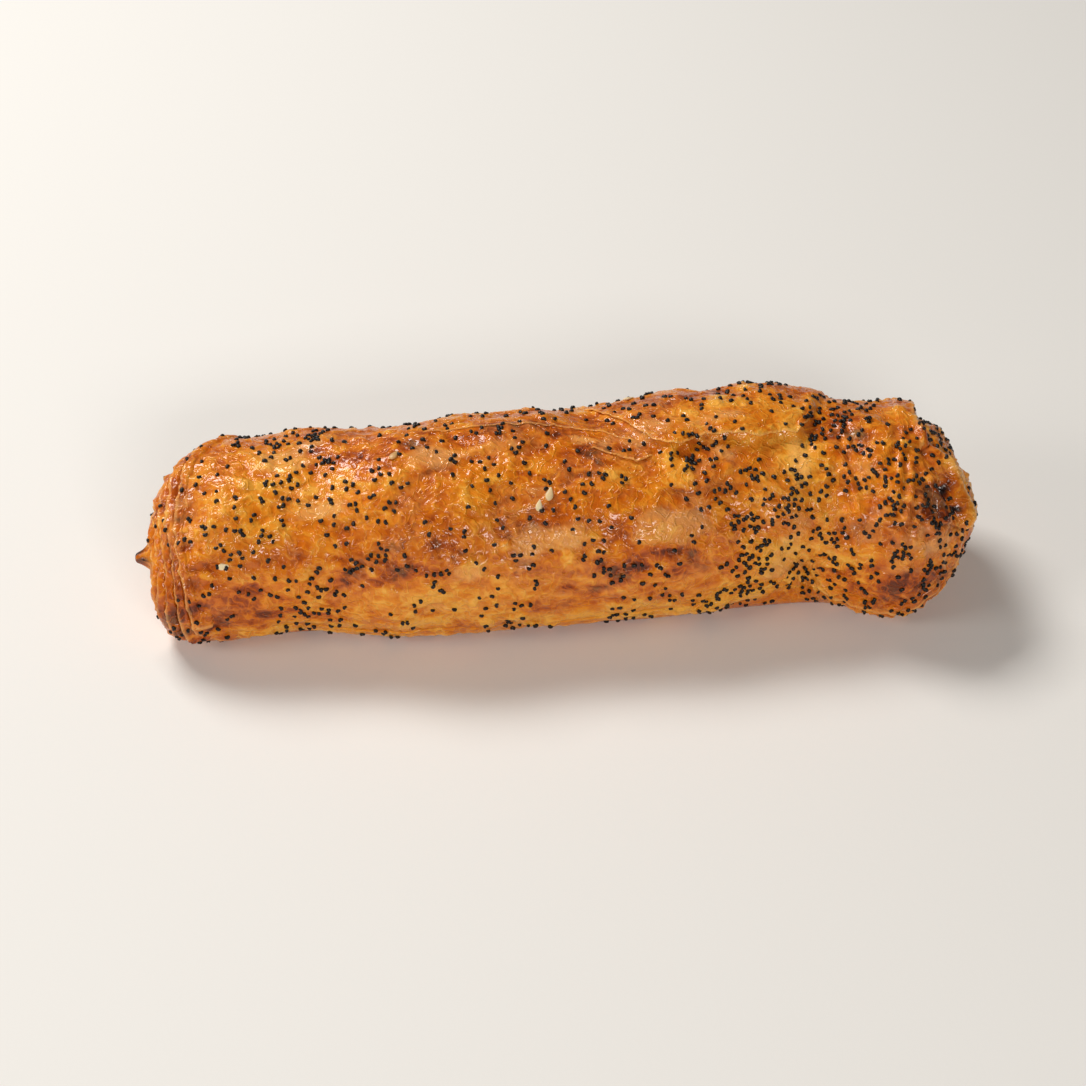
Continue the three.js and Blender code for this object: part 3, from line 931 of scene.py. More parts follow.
@dataclass(frozen=True)
class BakedFilo(Finish):
    """Filo dough brushed with egg wash and baked.

    The dough is thin and a little translucent, so it glows pale where it stands free and goes amber, then
    dark brown, where it touches the layer below and fries. The baked egg wash is a clear glossy film. The
    pale colour of drier skin is also mixed in as painted highlight and sheen.
    """

    name: str = "baked_filo"
    browning: tuple[tuple[float, str], ...] = (
        (0.0, "F2AA3E"), (0.2, "E89022"), (0.42, "DA780C"), (0.64, "C25C04"), (0.85, "983E02"),
        (1.0, "642402"),
    )
    # Pale drier skin; the same colour is mixed in as painted highlight and sheen on the glaze.
    dry_and_highlight: str = "F0B46C"
    burnt: str = "200A04"
    freckle_mm: float = 3.2
    freckles: Stretch = ((0.3, 0.7), (0.1, -0.1))
    ridge_paling_highlight_and_shade: Stretch = ((0.0, 1.0), (0.06, -0.16))
    ior: float = 1.45
    sheen: float = 0.08
    roughness: Span = (0.3, 0.52)
    brush_mm: float = 6
    brushed: Span = (0.35, 0.65)
    glow: float = 0.1
    glow_colour: tuple[float, float, float] = (1.0, 0.36, 0.08)
    glow_depth_mm: float = 1.2
    wash: float = 0.6
    wash_roughness: float = 0.07
    wash_ior: float = 1.5
    worms: Triples = ((2.6, 0.12, 1.0), (1.4, 0.12, 0.3))
    worm_height_mm: float = 0.13
    wave_mm: float = 3

    def inputs(self, tree: bpy.types.NodeTree, place: bpy.types.NodeSocket) -> dict:
        """Give the dough's inputs; the brush left more wash in some places, so the gloss varies."""
        ridges = self.ridges(tree, place)
        waves = noise(tree, place, self.wave_mm, Detail=1.0, Roughness=0.5)
        skin = raised(tree, calculated(tree, "ADD", waves, ridges), 1.0, self.worm_height_mm)
        brush = noise(tree, place, self.brush_mm, Detail=3.0, Roughness=0.6)
        return {
            "Base Color": self.colour(tree, place, ridges),
            "Roughness": mapped(tree, brush, self.brushed, self.roughness),
            "Normal": skin,
            "IOR": self.ior,
            "Specular IOR Level": self.sheen,
            "Subsurface Weight": self.glow,
            "Subsurface Radius": self.glow_colour,
            "Subsurface Scale": self.glow_depth_mm * MM,
            "Coat Weight": self.wash,
            "Coat Roughness": self.wash_roughness,
            "Coat IOR": self.wash_ior,
            "Coat Normal": skin,
        }

    def colour(self, tree: bpy.types.NodeTree, place: bpy.types.NodeSocket,
               ridges: bpy.types.NodeSocket) -> bpy.types.NodeSocket:
        """Colour the dough by its baking; paler where sheets and ridges stand free and drier, and where
        highlight is painted.
        """
        level = painted(tree, "browning")
        freckles = noise(tree, place, self.freckle_mm, Detail=4.0, Roughness=0.6, Distortion=0.8)
        # Ridges lower the browning: paler thin crests with painted highlight on them, and painted shade, a
        # little browner, between them.
        for source, spans in ((freckles, self.freckles), (ridges, self.ridge_paling_highlight_and_shade)):
            level = calculated(tree, "ADD", level, mapped(tree, source, *spans))
        mixed = ramped(tree, level, self.browning)
        # Mix in the pale colour of drier skin, which is also painted highlight and sheen, then the scorch.
        for name, code in (("dryness_and_highlight", self.dry_and_highlight), ("scorch", self.burnt)):
            sockets = {0: painted(tree, name), 6: mixed, 7: linear(code)}
            mixed = add_node(tree, "ShaderNodeMix", sockets, data_type="RGBA").outputs[2]
        return mixed

    def ridges(self, tree: bpy.types.NodeTree, place: bpy.types.NodeSocket) -> bpy.types.NodeSocket:
        """Lay out the finest ridges of the dough's skin, which wind over it like worms."""
        height: bpy.types.NodeSocket | float = 0.0
        for size, half_width, share in self.worms:
            pattern = noise(tree, place, size, Detail=0.0, Distortion=0.9)
            far = calculated(tree, "ABSOLUTE", calculated(tree, "SUBTRACT", pattern, 0.5))
            ridge = mapped(tree, far, (0.0, half_width), (share, 0.0), interpolation_type="SMOOTHSTEP")
            height = calculated(tree, "ADD", height, ridge)
        return height


@dataclass(frozen=True)
class PoppySeedHull(Finish):
    """Dried poppy seeds: a hard, nearly black hull with a fine net on it."""

    name: str = "poppy_seed_hull"
    shades: tuple[tuple[float, str], ...] = ((0.0, "0A0504"), (1.0, "1E1612"))
    net_mm: float = 0.22
    net_depth_mm: float = 0.05

    def inputs(self, tree: bpy.types.NodeTree, place: bpy.types.NodeSocket) -> dict:
        """Give the hull's inputs."""
        colour = ramped(tree, painted(tree, "shade"), self.shades)
        net = add_node(tree, "ShaderNodeTexVoronoi", {"Vector": place, "Scale": 1 / (self.net_mm * MM)})
        return {
            "Base Color": colour, "Normal": raised(tree, net.outputs["Distance"], 0.6, self.net_depth_mm),
            "Roughness": 0.5, "IOR": 1.5, "Specular IOR Level": 0.25,
            "Coat Weight": 0.22, "Coat Roughness": 0.1,
        }


@dataclass(frozen=True)
class SesameSeedHull(Finish):
    """Hulled sesame seeds: cream, waxy, and some of them a little toasted."""

    name: str = "sesame_seed_hull"
    shades: tuple[tuple[float, str], ...] = ((0.0, "F2DDB0"), (1.0, "C99553"))
    grain_mm: float = 0.5
    grain_depth_mm: float = 0.06
    glow_depth_mm: float = 0.6

    def inputs(self, tree: bpy.types.NodeTree, place: bpy.types.NodeSocket) -> dict:
        """Give the hull's inputs."""
        colour = ramped(tree, painted(tree, "shade"), self.shades)
        grain = noise(tree, place, self.grain_mm, Detail=2.0)
        return {
            "Base Color": colour, "Normal": raised(tree, grain, 0.4, self.grain_depth_mm),
            "Roughness": 0.4, "IOR": 1.47, "Subsurface Weight": 0.2, "Subsurface Radius": (1.0, 0.7, 0.4),
            "Subsurface Scale": self.glow_depth_mm * MM,
        }


@dataclass(frozen=True)
class MattPaint(Finish):
    """Matt painted board: an even pale coat with a faint roller grain."""

    name: str = "matt_paint"
    colour: str = "ECEAE6"
    grain_mm: float = 1.2
    grain_depth_mm: float = 0.1

    def inputs(self, tree: bpy.types.NodeTree, place: bpy.types.NodeSocket) -> dict:
        """Give the paint's inputs."""
        grain = raised(tree, noise(tree, place, self.grain_mm), 0.15, self.grain_depth_mm)
        return {"Base Color": linear(self.colour), "Roughness": 0.7, "Normal": grain}


# ---- The roll ----

@dataclass(frozen=True)
class Patch:
    """A soft-edged patch of the crust, by its place along and round the roll and its half sizes."""

    x: float
    angle: float
    along: float
    around: float
    strength: float

    def over(self, x: np.ndarray, angle: np.ndarray) -> np.ndarray:
        """Return how strongly the patch covers each place."""
        around = bump(degrees_apart(angle, self.angle), self.around)
        return self.strength * bump(x - self.x, self.along) * around


@dataclass(frozen=True)
class Baking:
    """How the oven coloured the dough, where it went brown, scorched or stayed pale, plus painted sheen
    patches.
    """

    browned: tuple[Patch, ...] = tuple(Patch(*row) for row in (
        (-70, 184, 14, 20, 0.25), (-46, 94, 10, 12, 0.4), (-44, 166, 12, 12, 0.35), (5, 108, 11, 9, 0.4),
        (11, 174, 13, 14, 0.25), (64, 96, 9, 14, 0.35), (84, 136, 4, 18, 0.7), (-1, 194, 10, 8, 0.4),
        (68, 192, 12, 14, 0.3), (-86, 205, 7, 26, 0.4), (-12, 84, 26, 8, 0.35), (-86, 130, 3, 40, 0.25),
        (44, 60, 26, 14, 0.2), (26, 170, 10, 12, 0.25), (79, 196, 12, 15, 0.25), (-70, 205, 14, 8, 0.3),
        (-8, 146, 7, 8, 0.25), (-27, 152, 7, 8, 0.25),
    ))
    scorched: tuple[Patch, ...] = tuple(Patch(*row) for row in (
        (-50, 174, 2.4, 4, 0.85), (-44, 172, 4, 4, 0.3), (-38, 148, 4, 5, 0.4), (-48, 126, 1.8, 3, 0.5),
        (-70, 174, 5, 3, 0.15), (87.2, 131, 1.3, 8, 1.1), (88.2, 146, 1.1, 6, 0.9), (-8, 146, 2.5, 4, 0.3),
        (6, 110, 4, 4, 0.35), (64, 93, 3, 5, 0.4), (-91, 95, 2.2, 18, 0.45), (74, 166, 3, 5, 0.25),
    ))
    paled: tuple[Patch, ...] = tuple(Patch(*row) for row in (
        (-30, 192, 20, 17, 0.35), (54, 114, 7, 24, 0.45), (50, 184, 10, 22, 0.5), (91.5, 134, 1.8, 20, 0.5),
        (87.5, 111, 2, 9, 0.4), (-56, 120, 9, 14, 0.3), (32, 208, 22, 9, 0.3), (-63, 92, 9, 12, 0.3),
        (-84, 120, 5, 26, 0.2), (2, 210, 18, 7, 0.3), (34, 84, 16, 8, 0.3), (13, 121, 12, 8, 0.15),
        (67, 177, 7, 8, 0.3), (90, 112, 6, 14, 0.25), (-60, 210, 22, 5, 0.35),
    ))
    # Pale patches of drier skin; many of them are painted sheen, where the glaze reflects the lights.
    dried_and_highlight: tuple[Patch, ...] = tuple(Patch(*row) for row in (
        (-3, 152, 9, 11, 0.75), (21, 153, 8, 9, 0.85), (-28, 98, 11, 7, 0.6), (0, 95, 12, 6, 0.45),
        (-21, 167, 6, 8, 0.6), (76, 172, 8, 12, 0.55), (-12, 118, 9, 8, 0.5), (-51, 132, 6, 12, 0.5),
        (-63, 92, 6, 12, 0.7), (51, 175, 5, 22, 0.75), (70, 122, 7, 10, 0.5), (32, 92, 14, 8, 0.5),
        (-24, 194, 12, 12, 0.45), (-80, 150, 4, 22, 0.35), (54, 118, 4, 22, 0.9), (40, 108, 10, 8, 0.4),
    ))
    wide_mm: float = 13
    narrow_mm: float = 3.6
    narrow_stretch: tuple[float, float, float] = (0.7, 1, 1)
    nub_scorch: float = 0.8
    nub_scorched: Span = (1.0, 3.2)

    def colour(self, piece: bpy.types.Object, surface: Surface, angle: np.ndarray, raised_by: np.ndarray,
               edge: np.ndarray) -> None:
        """Paint browning, drier skin with painted highlight and sheen, and scorching onto a piece of dough.

        Args:
            piece: The piece's mesh.
            surface: The crust where its vertices lie.
            angle: Their angles round the roll.
            raised_by: How far each stands out of the dough round it.
            edge: How near each is to a sheet's free edge, from 0 to 1.
        """
        points, facets = surface.plain, surface.facets
        wide = Noise.layered(points / self.wide_mm, Salt.WIDE_MOTTLE)
        narrow = Noise.layered(points * self.narrow_stretch / self.narrow_mm, Salt.NARROW_MOTTLE)
        mottle, shade = 0.55 * wide + 0.45 * narrow, facets.shade - 0.5
        browned, scorch, paled, dried_and_highlight = (
            sum(patch.over(points[:, 0], angle) for patch in patches)
            for patches in (self.browned, self.scorched, self.paled, self.dried_and_highlight)
        )
        scorch += self.nub_scorch * smooth(-surface.shift, *self.nub_scorched)
        # The pale mix of drier skin and facet outlines, partly painted highlight and sheen; sheet edges are
        # added below.
        dry_and_highlight = smooth(1.3 * dried_and_highlight + 0.7 * wide + 1.1 * shade, 0.45, 0.85)
        dry_and_highlight *= (0.8 + 0.6 * narrow) * (1 - 0.5 * facets.edge)
        # 0.7 * edge paints the sheets' free edges pale: thin drier dough and a painted highlight along them.
        dry_and_highlight = np.clip(dry_and_highlight + 0.3 * facets.edge * smooth(wide, -0.3, 0.3) + 0.7 * edge, 0, 1)
        # Raised places go paler and low ones browner: partly thinner crisp crests, partly painted highlight
        # on crests and painted shade in hollows.
        brown = 0.5 + 0.72 * mottle - 0.36 * np.clip(raised_by, -0.8, 0.8) + 0.42 * shade + 0.4 * scorch
        brown += browned * (0.8 + 1.4 * narrow) - paled * (0.9 - 0.4 * mottle) - 0.3 * dry_and_highlight
        paint(piece, "browning", brown)
        paint(piece, "dryness_and_highlight", 0.6 * dry_and_highlight * (1 - 0.7 * smooth(scorch, 0.2, 0.6)))
        paint(piece, "scorch", smooth(scorch + 0.9 * narrow + 0.4 * shade, 0.6, 1.0))


class Roll:
    """Where the roll lies in the frame: it moves points from the roll's millimetres onto the CAD solid."""

    PROBE_RINGS = 160
    PROBE_DEGREES = 3.0

    def __init__(self, relief: CrustRelief) -> None:
        """Line the roll's box up with the CAD solid's box."""
        self.relief = relief
        self.form = relief.form
        self.baking = Baking()
        rings = np.linspace(0, self.form.last_ring, self.PROBE_RINGS)
        turns = np.radians(np.arange(0, 360, self.PROBE_DEGREES))
        ring, angle = (grid.ravel() for grid in np.meshgrid(rings, turns, indexing="ij"))
        points = relief.at(ring, angle).points()
        low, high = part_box(NODE)
        middle = (points.min(0) + points.max(0)) / 2
        self.offset = np.array([
            (low.x + high.x) / 2 / MM - middle[0], (low.y + high.y) / 2 / MM - middle[1], 0,
        ])

    def to_frame(self, points: np.ndarray) -> np.ndarray:
        """Return points in metres in the frame."""
        return (points + self.offset) * MM


@dataclass(frozen=True)
class Crust:
    """The outer dough of the roll, as one closed mesh with its baking painted on."""

    segments: int = 240
    underside_share: float = 0.1
    underside_half: float = 42.0
    crowded_rings: int = 8

    def angles(self, turn: np.ndarray) -> np.ndarray:
        """Spend few segments on the flat underside.

        Args:
            turn: Shares of a full turn, from the middle of the underside.

        Returns:
            Angles round the roll.
        """
        half = self.underside_share / 2
        side = self.underside_half
        turned = np.interp(turn, [0, half, 1 - half, 1], [0, side, 360 - side, 360])
        return np.radians((turned + 270) % 360)

    def build(self, roll: Roll, finish: bpy.types.Material) -> bpy.types.Object:
        """Shape a ball of rings into the crust, with its first rings crowded round the nub.

        Args:
            roll: The roll's form and place.
            finish: The dough's material.

        Returns:
            The crust.
        """
        last = roll.form.last_ring
        piece = primitive(
            "crust", bpy.ops.mesh.primitive_uv_sphere_add, segments=self.segments, ring_count=last, radius=1,
        )
        ball = unit(corners(piece))
        ring = np.arccos(np.clip(ball[:, 2], -1, 1)) / math.pi * last
        ring *= np.minimum(ring / self.crowded_rings, 1) ** 3
        angle = self.angles(np.arctan2(ball[:, 1], ball[:, 0]) / (2 * math.pi) % 1)
        surface = roll.relief.at(ring, angle)
        move_corners(piece, roll.to_frame(surface.points()))
        roll.baking.colour(piece, surface, angle, surface.raised, surface.lip)
        return dressed(piece, finish)


# ---- Loose sheets of dough ----

@dataclass(frozen=True)
class Leaf:
    """A thin sheet of dough whose free edge shows: it comes out of the crust and ends in a ragged edge."""

    name: str
    root: Line
    edge: Line
    length: float
    lift: float = 0.6
    held: float = 0.0
    thickness: float = 0.32
    ragged: float = 0.25
    salt: int = 1
    browner: float = 0.0
    rows: int = 12
    cell: float = 0.5
    tear: float = 3.0
    salt_step: float = 7.3
    end_share: float = 0.06
    buried: float = 0.5
    buried_share: float = 0.12
    ends_sunk: float = 0.45

    def build(self, roll: Roll, finish: bpy.types.Material) -> bpy.types.Object:
        """Lay a grid onto the crust as the sheet, and give it its thickness.

        Args:
            roll: The roll's form and place.
            finish: The dough's material.

        Returns:
            The sheet.
        """
        columns = int(self.length / self.cell)
        piece = primitive(
            self.name, bpy.ops.mesh.primitive_grid_add,
            x_subdivisions=columns, y_subdivisions=self.rows, size=2,
        )
        flat = corners(piece)
        along, out = (flat[:, 0] + 1) / 2, (flat[:, 1] + 1) / 2
        level = np.full_like(along, self.salt * self.salt_step)
        tear = np.stack([along * self.length / self.tear, level, np.zeros_like(along)], 1)
        reach = out * (1 - self.ragged * (0.5 + 0.5 * Noise.layered(tear, self.salt)))
        (root_ring, root_angle), (edge_ring, edge_angle) = self.root(along), self.edge(along)
        ring = root_ring + (edge_ring - root_ring) * reach
        angle = root_angle + (edge_angle - root_angle) * reach
        surface, rooted = roll.relief.at(ring, angle), roll.relief.at(root_ring, root_angle)
        move_corners(piece, roll.to_frame(surface.points(self.heights(surface, rooted, along, out, tear))))
        # Pale free edge of the sheet: thin drier dough and a painted highlight along it.
        edge = smooth(out, 0.72, 0.95) * (1 - smooth(self.browner, 0, 0.3))
        roll.baking.colour(piece, surface, angle % (2 * math.pi), surface.raised - 4 * self.browner, edge)
        wall = piece.modifiers.new("thickness", "SOLIDIFY")
        wall.thickness = self.thickness * MM
        wall.offset = 0
        only(piece)
        bpy.ops.object.modifier_apply(modifier=wall.name)
        return dressed(piece, finish)

    def heights(self, surface: Surface, rooted: Surface, along: np.ndarray, out: np.ndarray,
                tear: np.ndarray) -> np.ndarray:
        """Raise the sheet off the crust towards its edge, and bury its root and its two ends.

        Args:
            surface: The crust under the sheet.
            rooted: The crust at the sheet's root.
            along: The share of the way along the sheet.
            out: The share of the way from its root to its edge.
            tear: Places for the noise along the edge.

        Returns:
            The height over the plain roll.
        """
        ends = between(along, (0, self.end_share), (1 - self.end_share, 1))
        height = surface.height + np.maximum(rooted.height - surface.height, 0) * self.held * ends
        curl = self.lift * (0.35 + 0.65 * out ** 2) * (1 + 0.5 * Noise.waves(tear * 1.7, self.salt + 5))
        height += np.where(out < self.buried_share, -self.buried, 0)
        return height + curl * smooth(out, 0.02, 0.3) * ends - self.ends_sunk * (1 - ends)


@dataclass(frozen=True)
class LooseSheets:
    """All the sheets of dough whose edges show, at both ends and along the roll."""

    form: RollForm
    relief: CrustRelief

    def arc(self, end: End, share: float, degrees: Span, wave: float, salt: int) -> Line:
        """Return a line round a closed end.

        Args:
            end: The end.
            share: The share of the way out from its pole.
            degrees: The angles where the line starts and ends.
            wave: How far the line wanders, as a share.
            salt: Makes each line wander differently.

        Returns:
            The line, as ring numbers and angles at shares of its length.
        """
        def line(along: np.ndarray) -> tuple[np.ndarray, np.ndarray]:
            angle = np.radians(degrees[0] + (degrees[1] - degrees[0]) * along)
            slant = self.relief.layers.end_slant(angle) if end is End.FOLDED else 1
            wander = ripple(angle, ((1, 2, salt), (0.6, 5, 2 * salt), (0.5, 17, salt)))
            return self.form.ring_from_pole(end, share * slant + wave * wander), angle
        return line

    def path(self, knots: tuple[Span, ...], turn: float = 0.0, shift: float = 0.0) -> Line:
        """Return a line through places given by x and angle.

        Args:
            knots: The places.
            turn: Moves the line round the roll, in degrees.
            shift: Moves it along the roll.

        Returns:
            The line, as ring numbers and angles at shares of its length.
        """
        xs, turns = np.array(knots).T

        def line(along: np.ndarray) -> tuple[np.ndarray, np.ndarray]:
            at = along * (len(knots) - 1)
            x = np.interp(at, range(len(knots)), xs) + shift
            angle = np.radians(np.interp(at, range(len(knots)), turns) + turn)
            return self.form.ring_at(x, angle), angle
        return line

    def end_leaves(self) -> list[Leaf]:
        """Lay out the sheets that end one behind another at the folded end, and the flakes at its corner."""
        radius, back, on = 28, 0.07, 0.02
        rows = (
            (0.515, (30, 216), 0.8), (0.425, (16, 228), 0.8), (0.33, (6, 236), 0.8), (0.235, (-10, 250), 0.7),
            (0.15, (30, 300), 0.5),
        )
        leaves = []
        for number, (share, degrees, lift) in enumerate(rows):
            leaves.append(Leaf(
                f"end_leaf_{number + 1}",
                self.arc(End.FOLDED, share + back, degrees, 0.008, number),
                self.arc(End.FOLDED, share - on, degrees, 0.012, number),
                math.radians(degrees[1] - degrees[0]) * radius * math.sin(share * math.pi / 2),
                lift=lift, thickness=0.3, salt=number + 3,
            ))
        corner, tan = ((-84.5, 205), (-80, 213)), ((-83.5, 189), (-79.5, 191))
        return leaves + [
            Leaf("corner_flake", self.path(corner), self.path(corner, 10, -5), 8,
                 lift=0.7, thickness=0.6, salt=41, browner=0.3, ragged=0.5),
            Leaf("tan_flake", self.path(tan), self.path(tan, 12), 5,
                 lift=0.6, thickness=0.4, salt=42, browner=-0.1),
        ]

    def top_leaves(self) -> list[Leaf]:
        """Lay out the sheets whose edges run along the top of the roll, and the lip low on its front."""
        places, over = range(6, 63, 3), 2
        flap = tuple((x, math.degrees(float(self.relief.flap.edge(np.array(x)))) + over) for x in places)
        ridge = ((-32, 79), (-20, 79), (-8, 82), (1, 82), (10, 87), (18, 98))
        crease = ((7, 100), (12, 106), (17, 111), (21, 108))
        lip = ((-78, 219), (-60, 223), (-40, 226), (-20, 225), (0, 223), (22, 221), (38, 216), (50, 208))
        return [
            Leaf("flap_edge", self.path(flap, -6), self.path(flap), 60,
                 lift=0.25, held=0.6, ragged=0.1, salt=21),
            Leaf("ridge_edge", self.path(ridge, -5), self.path(ridge), 54, lift=0.2, ragged=0.1, salt=24),
            Leaf("top_crease", self.path(crease, -5), self.path(crease), 16, lift=0.4, ragged=0.1, salt=23),
            Leaf("front_lip", self.path(lip, -9), self.path(lip), 130,
                 lift=0.45, thickness=0.3, salt=25, browner=-0.1),
        ]

    def knob_leaves(self) -> list[Leaf]:
        """Lay out the sheets that end round the knob: its corner, its rolled rim and the layers under it."""
        ear = ((85.8, 34), (85, 50), (83.6, 68), (83, 88), (83.2, 104))
        rim = ((83, 86), (84.5, 97), (86.5, 108), (88.8, 120), (90.6, 134), (91.8, 150), (90.5, 166))
        under = ((57, 206), (66, 214), (76, 218), (87, 206))
        lower = ((60, 214), (69, 221), (80, 223), (89, 208))
        return [
            Leaf("ear_edge", self.path(ear, 0, -6), self.path(ear), 30,
                 lift=0.5, held=0.6, thickness=0.4, salt=51),
            Leaf("rolled_rim", self.path(rim, 6, -2.4), self.path(rim), 40,
                 lift=0.3, thickness=1.0, ragged=0.1, salt=52, browner=0.05),
            Leaf("under_edge", self.path(under, -8), self.path(under), 34, lift=0.7, salt=53),
            Leaf("lower_edge", self.path(lower, -6), self.path(lower), 34, lift=0.6, salt=54),
        ]

    def tip_leaves(self) -> list[Leaf]:
        """Lay out the sheets that end one behind another on the knob's tip."""
        radius, back = 25, 0.12
        rows = ((0.5, (158, 232), 0.6), (0.4, (-60, 60), 0.7), (0.3, (150, 250), 0.7), (0.2, (120, 290), 0.6))
        leaves = []
        for number, (share, degrees, lift) in enumerate(rows):
            leaves.append(Leaf(
                f"knob_leaf_{number + 1}",
                self.arc(End.PINCHED, share + back, degrees, 0.01, number + 4),
                self.arc(End.PINCHED, share, degrees, 0.015, number + 4),
                math.radians(degrees[1] - degrees[0]) * radius * math.sin(share * math.pi / 2),
                lift=lift, thickness=0.35, salt=number + 33,
            ))
        return leaves

    def build(self, roll: Roll, finish: bpy.types.Material) -> list[bpy.types.Object]:
        """Build every sheet."""
        leaves = self.end_leaves() + self.top_leaves() + self.knob_leaves() + self.tip_leaves()
        return [leaf.build(roll, finish) for leaf in leaves]


# ---- Seeds ----

class Scatter:
    """Drops seeds onto the crust and its sheets."""

    DROP_HEIGHT = 12
    DROP_LENGTH = 20
    LOWEST = 0.6

    def __init__(self, roll: Roll, ground: list[bpy.types.Object], seed: int) -> None:
        """Gather the surfaces that seeds can land on."""
        self.roll = roll
        self.random = np.random.default_rng(seed)
        vertices, faces, start = [], [], 0
        for piece in ground:
            points = corners(piece) / MM
            vertices.extend(map(Vector, points))
            faces.extend(tuple(start + v for v in face.vertices) for face in piece.data.polygons)
            start += len(points)
        self.tree = BVHTree.FromPolygons(vertices, faces)

    def land(self, x: float, angle: float) -> tuple[np.ndarray, np.ndarray] | None:
        """Drop one seed straight in towards the roll.

        Args:
            x: The place along the roll, in millimetres.
            angle: The angle round the roll.

        Returns:
            The point in the frame's millimetres and the surface's normal there, or None for a miss.
        """
        form = self.roll.form
        spot = np.array([angle])
        ring = form.ring_at(np.array([x]), spot)
        point = form.plain(ring, spot)[0][0] + self.roll.offset
        normal = form.normal(ring, spot)[0]
        above = Vector(point + self.DROP_HEIGHT * normal)
        hit, facing, _, _ = self.tree.ray_cast(above, Vector(-normal), self.DROP_LENGTH)
        if hit is None or hit.z < self.LOWEST:
            return None
        facing = np.array(facing)
        return np.array(hit), facing * np.sign(facing @ normal)


@dataclass(frozen=True)
class Cluster:
    """A clump of seeds on the crust."""

    x: float
    angle: float
    count: int
    radius: float


@dataclass(frozen=True)
class PoppySeeds:
    """Poppy seeds baked onto the crust, thickest towards the knob."""

    length: float = 1.3
    sunk: float = 0.3
    count: int = 2150
    closest: float = 0.9
    gap_spread: Span = (0.8, 1.1)
    tilt: float = 0.28
    clump_spread: float = 0.6
    roll_radius: float = 25
    ends: Span = (-95, 95)
    seeded: Span = (-38, 228)
    density: tuple[Span, ...] = (
        (-94, 0.35), (-82, 0.5), (-66, 0.62), (-50, 0.6), (-40, 0.42), (-24, 0.34), (-8, 0.5), (5, 0.5),
        (20, 0.62), (35, 0.8), (50, 1.1), (66, 1.2), (80, 1.25), (90, 1.0), (95, 0.6),
    )
    clusters: tuple[Cluster, ...] = tuple(Cluster(*row) for row in (
        (69, 109, 14, 2.2), (67, 130, 16, 2.6), (72, 119, 10, 2), (78, 104, 14, 2.6), (60, 165, 20, 2.0),
        (43, 155, 10, 1.4), (75, 168, 22, 2.2), (43, 125, 10, 1.8), (49, 142, 14, 2.4), (40, 149, 8, 1.4),
        (54, 196, 8, 1.0), (44, 203, 12, 3.5), (41, 176, 18, 3.5), (26, 108, 6, 1.2), (29, 114, 10, 2),
        (82, 182, 12, 2.6), (65, 79, 10, 1.8), (74, 138, 12, 2), (-24, 101, 5, 1.0), (-13, 87, 6, 1.2),
        (-11, 162, 9, 1.2), (15, 102, 6, 1.4), (9, 176, 5, 1.2), (14, 121, 5, 1.4), (-55, 73, 14, 2.4),
        (-53, 100, 12, 2.4), (-47, 163, 8, 1.2), (-42, 154, 10, 2), (-64, 73, 8, 2), (-63, 114, 12, 3),
        (-83, 68, 6, 1.4), (84, 150, 12, 4), (40, 207, 20, 10), (60, 95, 14, 5), (56, 142, 16, 5),
        (80, 198, 14, 5),
    ))

    @staticmethod
    def bean() -> tuple[np.ndarray, Faces]:
        """Model one kidney-shaped seed, one unit long, with the dent in its side and the dimple on top."""
        add = bpy.ops.mesh.primitive_uv_sphere_add
        points, faces = taken(primitive("poppy_bean", add, segments=8, ring_count=5, radius=0.5))
        points *= (1, 0.9, 0.8)
        points[:, 1] += 0.22 * bump(points[:, 0], 0.24) * smooth(-points[:, 1], 0.0, 0.4)
        points[:, 2] -= 0.16 * bump(np.hypot(points[:, 0], points[:, 1]), 0.2) * (points[:, 2] > 0)
        return points, faces

    def share(self, x: float, degrees: float) -> float:
        """Return the share of the seeds drawn for a place that fall there, which varies in soft patches."""
        xs, shares = np.array(self.density).T
        patchy = 0.65 + 0.7 * math.sin(x * 0.21 + 1) * math.sin(math.radians(degrees) * 3.1 + x * 0.05)
        return np.interp(x, xs, shares) / shares.max() * patchy

    def spots(self, random: np.random.Generator) -> list[Span]:
        """Draw the places where seeds fall, by x and angle."""
        places = [
            (row.x + random.normal() * row.radius * self.clump_spread,
             math.radians(row.angle) + random.normal() * row.radius * self.clump_spread / self.roll_radius)
            for row in self.clusters for _ in range(row.count)
        ]
        while len(places) < self.count:
            x, degrees = random.uniform(*self.ends), random.uniform(*self.seeded)
            if random.random() < self.share(x, degrees):
                places.append((x, math.radians(degrees) % (2 * math.pi)))
        return places

    def build(self, scatter: Scatter, finish: bpy.types.Material) -> bpy.types.Object:
        """Copy the bean to every place where a seed landed, as one mesh."""
        bean, faces = self.bean()
        random = scatter.random
        landed, tops = [], []
        for x, angle in self.spots(random):
            found = scatter.land(x, angle)
            if found is None:
                continue
            point, normal = found
            gap = self.closest * random.uniform(*self.gap_spread)
            if landed and np.linalg.norm(np.array(landed) - point, axis=1).min() < gap:
                continue
            landed.append(point)
            tops.append(unit(normal + random.normal(size=3) * self.tilt))
        return copies("poppy_seeds", bean, faces, np.array(landed), np.array(tops), random, finish,
                      length=self.length, sunk=self.sunk)


